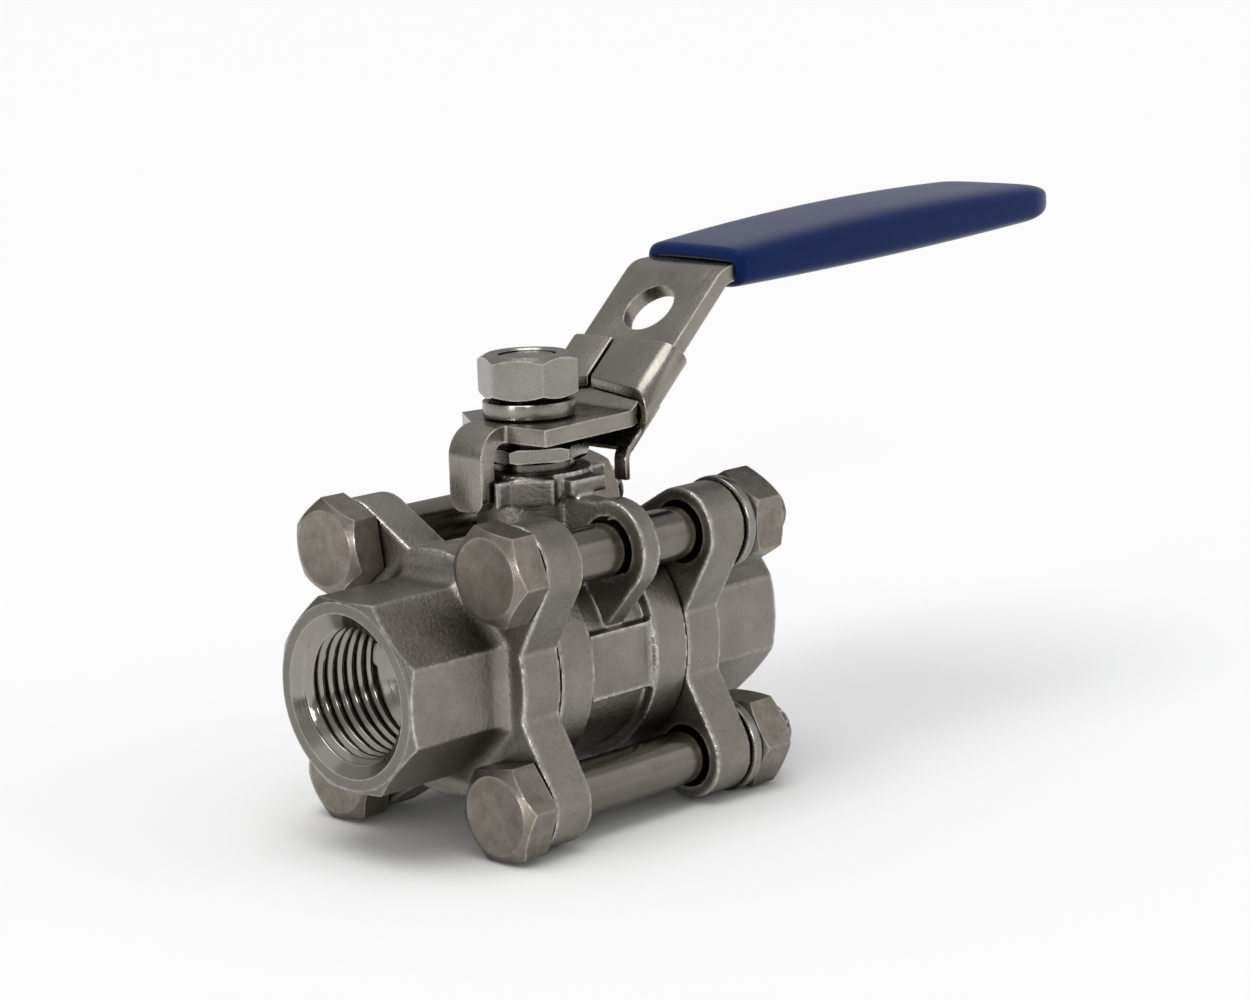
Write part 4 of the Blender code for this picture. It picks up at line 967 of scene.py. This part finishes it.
hand_over(stem_bar(), "lever_assembly", "turned_stainless", "stem")
thin_nut = hex_nut("gland_nut", 15.0, 25.5, 28.4, 30.5, 5.25, "Z", (0, 0, 0), turned_steel, 1.08)
hand_over(thin_nut, "lever_assembly", "turned_stainless", "stem_nut", crease=24)
washer = split_ring("lever_washer", 4.3, 6.75, 34.45, 36.75, "Z", (0, 0, 0), turned_steel)
hand_over(washer, "lever_assembly", "turned_stainless", "spring_washer")
top_nut = hex_nut("lever_top_nut", HEX_FLATS, 2.6, 37.0, 43.5, 4.3, "Z", (0, 0, 0), turned_steel)
hand_over(top_nut, "lever_assembly", "turned_stainless", "lever_nut", crease=24)
bar = [(25.25, 5.25), (25.25, 6.35), (28.15, 6.35), (28.15, 5.25)]
gland = lathe("gland_ring", eased(bar, 0.2), even_angles(96), "Z")
gland.data.materials.append(turned_steel)
hand_over(gland, "valve_body", "turned_stainless", "packing_gland")

# %% [markdown]
# ## The lever
# A strip is bent three times: the stop tab, the rise of the arm and the handle. It is swept along a path
# with round bends, cut for the stem and the padlock, and its sheared edges are broken slightly.

# %% Bent strips
def bent_path(corners, bends, steps=12):
    """Points (x, z) along straight runs that are joined by bends."""
    points = [Vector(corners[0])]
    for before, corner, after, radius in zip(corners, corners[1:], corners[2:], bends):
        arriving = (Vector(corner) - Vector(before)).normalized()
        leaving = (Vector(after) - Vector(corner)).normalized()
        turn = arriving.angle_signed(leaving)
        start = Vector(corner) - arriving * radius * math.tan(abs(turn) / 2)
        side = -1 if turn > 0 else 1
        middle = start + side * radius * Vector((-arriving.y, arriving.x))
        spoke = start - middle
        for step in range(steps + 1):
            angle = -turn * step / steps
            c, s = math.cos(angle), math.sin(angle)
            points.append(middle + Vector((spoke.x * c - spoke.y * s, spoke.x * s + spoke.y * c)))
    points.append(Vector(corners[-1]))
    return points


def strip(name, path, thickness, widths):
    """A sheet along a path in the XZ plane. `widths` gives its two side edges at a path point."""
    bm = bmesh.new()
    rings = []
    for index, here in enumerate(path):
        before, after = path[max(index - 1, 0)], path[min(index + 1, len(path) - 1)]
        runs = [(b - a).normalized() for a, b in ((before, here), (here, after)) if (b - a).length > 1e-6]
        heading = sum(runs, Vector((0, 0))).normalized()
        out = Vector((-heading.y, heading.x)) * thickness / 2 / max(0.5, heading.dot(runs[0]))
        near, far = widths(here)
        ring = []
        for y, side in ((near, 1), (far, 1), (far, -1), (near, -1)):
            spot = here + out * side
            ring.append(bm.verts.new((spot.x, y, spot.y)))
        rings.append(ring)
    for first, second in zip(rings, rings[1:]):
        join_rings(bm, first, second)
    bm.faces.new(rings[0])
    bm.faces.new(rings[-1])
    return mesh_object(name, bm)


def split_at(path, places):
    """Adds path points at the given x."""
    points = [path[0]]
    for here, there in zip(path, path[1:]):
        for x in sorted(x for x in places if here.x + 0.02 < x < there.x - 0.02):
            points.append(here.lerp(there, (x - here.x) / (there.x - here.x)))
        points.append(there)
    return points


def between(x, marks):
    return float(np.interp(x, [m[0] for m in marks], [m[1] for m in marks]))


def rounded_end(x, half, end, corner):
    """Half-width of a strip whose end has rounded corners."""
    past = min(max(0.0, x - (end - corner)), corner)
    return half - corner + math.sqrt(corner**2 - past**2)


def end_places(end, corner, steps):
    return [end - corner * (1 - math.sin(math.pi / 2 * step / steps)) for step in range(steps)]


print("bent strips are ready")

# %% [markdown]
# ### The strip of the lever
# The hub is wider than the arm and narrows to the tab through two shoulders. The widths are given at a
# few places along the strip, so one sweep makes the whole outline, and a bevel breaks the edges at the
# end.

# %% Lever
NEAR_SHOULDER, FAR_SHOULDER, TAB_DROP, TAB_BEND, ARM_BEND = -7.7, -3.0, 9.7, 3.4, 4.25
HOLE_RADIUS, HOLE_FLATS, PADLOCK_PLACE, PADLOCK_RADIUS = 4.3, 6.6, 19.5, 4.3
ROOT_FILLET = ((0.0, 0.0), (0.14, 0.04), (0.26, 0.14), (0.35, 0.30), (0.41, 0.52))
ARM_WIDTH, ARM_START, ARM_ANGLE = 19.0, 12.2, math.radians(42.5)
HUB_WIDTH, LEVER_THICK, ARM_RISE, TAB_CORNER = 22.2, 2.5, 18.8, 2.2
HANDLE_START = ARM_START + ARM_RISE / math.tan(ARM_ANGLE)
HANDLE_HEIGHT = LEVER_TOP - LEVER_THICK / 2 + ARM_RISE
HANDLE_END, HANDLE_SLOPE = 114.7, math.tan(math.radians(2.9))
ARM = Vector((math.cos(ARM_ANGLE), 0, math.sin(ARM_ANGLE)))
ARM_OUT = Vector((-ARM.z, 0, ARM.x))
ARM_FOOT = Vector((ARM_START, 0, LEVER_TOP - LEVER_THICK / 2)) + ARM_OUT * (LEVER_THICK / 2)


def handle_height(x):
    return HANDLE_HEIGHT + (x - HANDLE_START) * HANDLE_SLOPE


def lever_strip():
    middle = LEVER_TOP - LEVER_THICK / 2
    tab = -TAB_INSIDE - LEVER_THICK / 2
    corners = [(tab, LEVER_FOOT - TAB_DROP), (tab, middle), (ARM_START, middle)]
    corners += [(HANDLE_START, HANDLE_HEIGHT), (HANDLE_END, handle_height(HANDLE_END))]
    root, arm_end, end_corner = tab + TAB_BEND, ARM_START - 2, ARM_WIDTH / 2 * 0.75
    fillet = [(root + along, TAB_WIDTH / 2 + across) for along, across in ROOT_FILLET]
    near = fillet + [(NEAR_SHOULDER, HUB_WIDTH / 2), (arm_end, ARM_WIDTH / 2)]
    far = fillet[:1] + [(FAR_SHOULDER, HUB_WIDTH / 2), (arm_end, ARM_WIDTH / 2)]

    def widths(spot):
        end = ARM_WIDTH / 2 - rounded_end(spot.x, ARM_WIDTH / 2, HANDLE_END, end_corner)
        end += TAB_CORNER - rounded_end(-spot.y, TAB_CORNER, -corners[0][1], TAB_CORNER)
        return -between(spot.x, near) + end, between(spot.x, far) - end

    path = bent_path(corners, (TAB_BEND, ARM_BEND, ARM_BEND))
    foot = [Vector((tab, -z)) for z in end_places(-corners[0][1], TAB_CORNER, 6)]
    path[1:1] = foot[::-1]
    places = [NEAR_SHOULDER, FAR_SHOULDER, arm_end, HANDLE_END - end_corner]
    places += end_places(HANDLE_END, end_corner, 10) + [x for x, _ in fillet]
    plate = strip("lever_strip", split_at(path, places), LEVER_THICK, widths)
    plate.data.materials.append(pressed_sheet)
    low, high = LEVER_FOOT - OVERRUN, LEVER_TOP + OVERRUN
    profile = [(low, 0), (low, HOLE_RADIUS), (high, HOLE_RADIUS), (high, 0)]
    hole = lathe("stem_hole", profile, even_angles(64), "Z")
    half = HOLE_FLATS / 2
    flats = block("hole_flats", (-CLEAR, -half, low - OVERRUN), (CLEAR, half, high + OVERRUN))
    combine(hole, flats, "INTERSECT")
    combine(plate, tooled(hole, pressed_sheet), "DIFFERENCE")
    centre = ARM_FOOT + ARM * PADLOCK_PLACE
    bm = bmesh.new()
    rings = []
    for depth in (OVERRUN, -LEVER_THICK - OVERRUN):
        ring = []
        for angle in even_angles(64):
            spoke = ARM * math.cos(angle) + Vector((0, math.sin(angle), 0))
            ring.append(bm.verts.new(centre + spoke * PADLOCK_RADIUS + ARM_OUT * depth))
        rings.append(ring)
    join_rings(bm, *rings)
    bm.faces.new(rings[0])
    bm.faces.new(rings[1])
    combine(plate, tooled(mesh_object("padlock_hole", bm), pressed_sheet), "DIFFERENCE")
    return soften_edges(plate, 0.35, 3, 35)


hand_over(lever_strip(), "lever_assembly", "sheet_stainless", "lever")

# %% [markdown]
# ## The sliding lock
# One sheet is folded round the arm until its edges nearly meet on top. Below the arm it runs on as a tail
# with two legs, which drop beside the stop lug and keep the lever from turning.

# %% Lock slide
SHEET, SLIDE_TOP, SLIDE_FOOT, SLIDE_SLANT, SLIDE_SLIT = 1.2, 12.4, 13.9, 1.0, 1.4
SLIDE_SIDE, SLIDE_GAP, SLIT_HALF, OUTER_ROLL, INNER_ROLL = 0.45, 0.25, 0.35, 2.6, 1.4
LEG_FACE, LEG_INNER, LEG_OUTER, LEG_BEND, LEG_GAP = 9.3, 7.6, 9.95, 2.2, 0.35
TAIL_HALF, TAIL_GAP, TAIL_OVERLAP, SHEET_EDGE = 10.0, 1.6, 3.0, 0.2


def slide_wall(grow, corner, steps=8):
    """From the slit round the far side, under the arm and up the near side, as (across, out) points."""
    wide, top, bottom = ARM_WIDTH / 2 + SLIDE_SIDE + grow, SLIDE_GAP + grow, -LEVER_THICK - SLIDE_GAP - grow
    points = [(SLIDE_SLIT + SLIT_HALF, top)]
    for cy, cz, first in (
        (wide - corner, top - corner, 90), (wide - corner, bottom + corner, 0),
        (corner - wide, bottom + corner, -90), (corner - wide, top - corner, -180),
    ):
        for step in range(steps + 1):
            angle = math.radians(first - 90 * step / steps)
            points.append((cy + corner * math.cos(angle), cz + corner * math.sin(angle)))
    return points + [(SLIDE_SLIT - SLIT_HALF, top)]


def slide_sheet():
    bm = bmesh.new()
    half = ARM_WIDTH / 2 - SLIDE_SLIT
    lines = []
    for wall in (slide_wall(SHEET, OUTER_ROLL), slide_wall(0, INNER_ROLL)):
        bases = [ARM_FOOT + ARM_OUT * out + Vector((0, across, 0)) for across, out in wall]
        feet = [SLIDE_FOOT - SLIDE_SLANT * min(1.0, abs(base.y - SLIDE_SLIT) / half) for base in bases]
        low = [base + ARM * ((foot - base.x) / ARM.x) for base, foot in zip(bases, feet)]
        lines.append([bm.verts.new(spot) for spot in low])
        lines.append([bm.verts.new(base + ARM * SLIDE_TOP) for base in bases])
    outer_low, outer_high, inner_low, inner_high = lines
    sections = list(zip(outer_low, outer_high, inner_high, inner_low))
    for here, there in zip(sections, sections[1:]):
        join_rings(bm, here, there)
    bm.faces.new(sections[0])
    bm.faces.new(sections[-1])
    sleeve = soften_edges(mesh_object("slide_sheet", bm), SHEET_EDGE, 2, 40)
    sleeve.data.materials.append(pressed_sheet)
    under = ARM_FOOT - ARM_OUT * (LEVER_THICK + SLIDE_GAP + SHEET / 2)
    top = under + ARM * ((SLIDE_FOOT + TAIL_OVERLAP - under.x) / ARM.x)
    leg = LEG_FACE + SHEET / 2
    elbow = under + ARM * ((leg - under.x) / ARM.x)
    end = under + ARM * ((BOSS_TOP + TAIL_GAP - under.z) / ARM.z)
    tail = strip("tail", [top.xz, end.xz], SHEET - 0.1, lambda spot: (-TAIL_HALF, TAIL_HALF))
    combine(sleeve, tooled(soften_edges(tail, SHEET_EDGE), pressed_sheet), "UNION")
    foot = (leg, BOLT_OFFSET + EAR_ROUND / 2 + LEG_GAP)
    path = bent_path([(top - ARM).xz, elbow.xz, foot], (LEG_BEND,), 8)
    for low, high in ((-LEG_OUTER, -LEG_INNER), (LEG_INNER, LEG_OUTER)):
        side = strip("leg", path, SHEET - 0.2, lambda spot: (low, high))
        combine(sleeve, tooled(soften_edges(side, SHEET_EDGE), pressed_sheet), "UNION")
    return sleeve


hand_over(slide_sheet(), "lock_slide", "sheet_stainless", "lock_slide")

# %% [markdown]
# ## The grip
# A vinyl sleeve over the handle: flat-sided but round at every edge, with a lip at its mouth and a
# rounded end. Rings of points are lofted along the handle, and the mouth turns inwards into the slot for
# the strip.

# %% Grip
GRIP_START, GRIP_END, GRIP_CORNER = 35.6, 117.3, 10.6
GRIP_MARKS = (GRIP_START, (GRIP_START + GRIP_END) / 2, GRIP_END)
GRIP_WIDTHS, GRIP_HEIGHTS, GRIP_LIFTS = (10.8, 11.6, 11.3), (3.1, 3.95, 2.75), (0.5, 0.55, -0.2)
SIDE_ROUNDING, TOP_ROUNDING = 0.36, 0.52
MOUTH_SKEW, MOUTH_LIP, LIP_EASE, SLOT_GAP, SLOT_END_GAP = 1.1, 1.2, 1.1, 0.12, 0.25


def bowed(x, sizes):
    """A smooth curve through the sizes at the start, the middle and the end."""
    return float(np.polyval(np.polyfit(GRIP_MARKS, sizes, 2), x))


def grip_ring(bm, x, half, high, lift, count=72):
    ring = []
    for index in range(count):
        angle = 2 * math.pi * (index + 0.5) / count
        c, s = math.cos(angle), math.sin(angle)
        y = math.copysign(abs(c) ** SIDE_ROUNDING, c) * half
        z = math.copysign(abs(s) ** TOP_ROUNDING, s) * high
        skew = MOUTH_SKEW * y / GRIP_WIDTHS[0] * (GRIP_END - x) / (GRIP_END - GRIP_START)
        ring.append(bm.verts.new((x + skew, y, handle_height(x) + lift + z)))
    return ring


def grip_sleeve():
    bm = bmesh.new()
    slot = (ARM_WIDTH / 2 + SLOT_GAP, LEVER_THICK / 2 + SLOT_GAP)
    inner_end = HANDLE_END + SLOT_END_GAP
    rings = [grip_ring(bm, inner_end, slot[0] * 0.4, slot[1], 0)]
    for x in reversed([GRIP_START + MOUTH_LIP, GRIP_START + 30, *end_places(inner_end, 7, 8)]):
        rings.append(grip_ring(bm, x, rounded_end(x, slot[0], inner_end, 7), slot[1], 0))
    for step in range(7):
        angle = math.pi / 2 * step / 6
        x = GRIP_START + MOUTH_LIP * (1 - math.sin(angle))
        half = bowed(x, GRIP_WIDTHS) - MOUTH_LIP * (1 - math.cos(angle))
        rings.append(grip_ring(bm, x, slot[0] + (half - slot[0]) * step / 12, slot[1] + 0.35 * step / 6,
                               GRIP_LIFTS[0] * step / 12))
    straight = GRIP_END - GRIP_CORNER - GRIP_START
    outer = [GRIP_START + MOUTH_LIP * (1 - math.cos(math.pi / 2 * step / 6)) for step in range(7)]
    outer += [GRIP_START + straight * step / 16 for step in range(1, 16)]
    outer += end_places(GRIP_END, GRIP_CORNER, 18) + [GRIP_END - 0.02]
    for x in outer:
        half = rounded_end(x, bowed(x, GRIP_WIDTHS), GRIP_END, GRIP_CORNER)
        past = max(0.0, x - (GRIP_END - GRIP_CORNER)) / GRIP_CORNER
        high = bowed(x, GRIP_HEIGHTS) * math.sqrt(max(0.02, 1 - past**1.8))
        lip = max(0.0, 1 - (x - GRIP_START) / MOUTH_LIP)
        ease = LIP_EASE * (1 - math.sqrt(max(0.0, 1 - lip**2)))
        rings.append(grip_ring(bm, x, half - ease, high - ease, bowed(x, GRIP_LIFTS)))
    for first, second in zip(rings, rings[1:]):
        join_rings(bm, first, second)
    bm.faces.new(rings[0])
    bm.faces.new(rings[-1])
    sleeve = mesh_object("grip_sleeve", bm)
    sleeve.data.materials.append(dipped_vinyl)
    return sleeve


hand_over(grip_sleeve(), "lever_assembly", "blue_vinyl", "lever_grip", crease=60)

# %% [markdown]
# ## The ball and the seals
# The ball only shows through the bore, so a lathe profile with a round bore and a slot for the stem is
# enough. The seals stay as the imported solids, with their own finish.

# %% Ball
BALL_RADIUS, BALL_SLOT, SLOT_FLOOR, SLOT_REACH = 12.4, 2.6, 9.2, 14.0


def bored_ball():
    first = math.asin(PORT_BORE / 2 / BALL_RADIUS)
    arc = [first + (math.pi - 2 * first) * step / 48 for step in range(49)]
    profile = [(-BALL_RADIUS * math.cos(a), BALL_RADIUS * math.sin(a)) for a in arc]
    made = lathe("bored_ball", profile, even_angles(96))
    made.data.materials.append(turned_steel)
    slot = block("slot", (-BALL_SLOT, -SLOT_REACH, SLOT_FLOOR), (BALL_SLOT, SLOT_REACH, SLOT_REACH))
    return combine(made, tooled(slot, turned_steel), "DIFFERENCE")


hand_over(bored_ball(), "ball", "turned_stainless", "ball")

# %% [markdown]
# ### Seals
# The seats, gaskets and packing rings are plain turned rings that are hidden inside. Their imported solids
# are fine enough as they are, so they only get a finish.

# %% Seals
for name in ("inlet_seat", "outlet_seat", "inlet_gasket", "outlet_gasket", "thrust_washer",
             "packing_ring_lower", "packing_ring_middle", "packing_ring_upper"):
    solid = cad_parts[name]
    solid.data.materials.clear()
    solid.data.materials.append(seal_white)
    print(name, "keeps its solid")

# %% [markdown]
# ## Floor
# The floor is plain and pale, as in a catalogue picture, and large enough to reach the horizon. It is
# only staging.

# %% Floor
def floor_finish():
    made, _, shader = new_finish("pale_floor", 0.0)
    shader.inputs["Base Color"].default_value = rgb(0.905, 0.905, 0.905)
    shader.inputs["Roughness"].default_value = 0.9
    shader.inputs["Specular IOR Level"].default_value = 0.1
    return made


floor_mesh = bpy.data.meshes.new("floor")
FLOOR_REACH = 40.0
rim = [(x * FLOOR_REACH, y * FLOOR_REACH, 0) for x, y in ((-1, -1), (1, -1), (1, 1), (-1, 1))]
floor_mesh.from_pydata(rim, [], [(0, 1, 2, 3)])
floor = bpy.data.objects.new("floor", floor_mesh)
floor.location.z = FLOOR_HEIGHT - 0.02 * MM
floor.data.materials.append(floor_finish())
bpy.context.scene.collection.objects.link(floor)
print("floor at", round(FLOOR_HEIGHT / MM, 2), "mm")

# %% [markdown]
# ## Light
# Broad, far-off lamps shine from above and from the right. Two narrow ones, low on the left and near the
# camera, draw the streak in the thread and the bright corners of the castings. The world is a quiet grey
# that is lighter overhead, so the steel has something dark and something bright to mirror.

# %% Lamps and world
def soft_sun(name, towards, spread_angle, strength):
    """A wide, far-off lamp. It lights the whole floor evenly."""
    lamp = bpy.data.lights.new(name, "SUN")
    lamp.angle = math.radians(spread_angle)
    lamp.energy = strength
    holder = bpy.data.objects.new(name, lamp)
    holder.rotation_euler = Vector(towards).to_track_quat("Z", "Y").to_euler()
    bpy.context.scene.collection.objects.link(holder)
    return holder


soft_sun("overhead_light", (-0.15, -0.05, 1.0), 50, 1.62)
soft_sun("left_light", (-1.0, 0.35, 0.75), 40, 0.12)
soft_sun("low_light", (-0.99, -0.06, 0.09), 5, 0.36)
soft_sun("right_light", (0.75, -1.0, 0.45), 50, 0.35)
soft_sun("front_light", (-0.70, -0.66, 0.30), 9, 0.30)

world = bpy.data.worlds.new("studio")
world.use_nodes = True
bpy.context.scene.world = world
sky = world.node_tree
heading = node(sky, "ShaderNodeTexCoord").outputs["Generated"]
height = node(sky, "ShaderNodeSeparateXYZ", Vector=heading).outputs[2]
tone = spread(sky, height, 0.05, 0.6, 0.26, 0.52)
sky.links.new(tone, sky.nodes["Background"].inputs["Color"])
print(len(bpy.data.lights), "lamps and a grey world")

# %% [markdown]
# ## Camera
# Place, lens and roll were fitted to points of the photograph. They are kept as angles, a focal length in
# pixels of a picture of known width, and a shift of the middle of the picture.

# %% Camera
FOCAL_PIXELS, FRAME_WIDTH = 3046.96, 1250
AZIMUTH, ELEVATION, ROLL = (math.radians(a) for a in (-45.567, 10.874, -1.962))
SIDEWAYS, UPWARDS, DISTANCE = 12.725, 21.357, 448.156

back = Vector((math.sin(AZIMUTH) * math.cos(ELEVATION), -math.cos(AZIMUTH) * math.cos(ELEVATION),
               math.sin(ELEVATION)))
level = Vector((math.cos(AZIMUTH), math.sin(AZIMUTH), 0))
upright = back.cross(level)
right = level * math.cos(ROLL) + upright * math.sin(ROLL)
up = upright * math.cos(ROLL) - level * math.sin(ROLL)
lens = bpy.data.cameras.new("camera")
lens.sensor_width = 36.0
lens.lens = FOCAL_PIXELS / FRAME_WIDTH * lens.sensor_width
lens.clip_start = 0.01
camera = bpy.data.objects.new("camera", lens)
pose = Matrix((right, up, back)).transposed().to_4x4()
pose.translation = (right * SIDEWAYS + up * UPWARDS + back * DISTANCE) * MM
camera.matrix_world = pose
bpy.context.scene.collection.objects.link(camera)
bpy.context.scene.camera = camera
bpy.context.scene.view_settings.view_transform = "Standard"
print("camera at", [round(v, 3) for v in pose.translation])
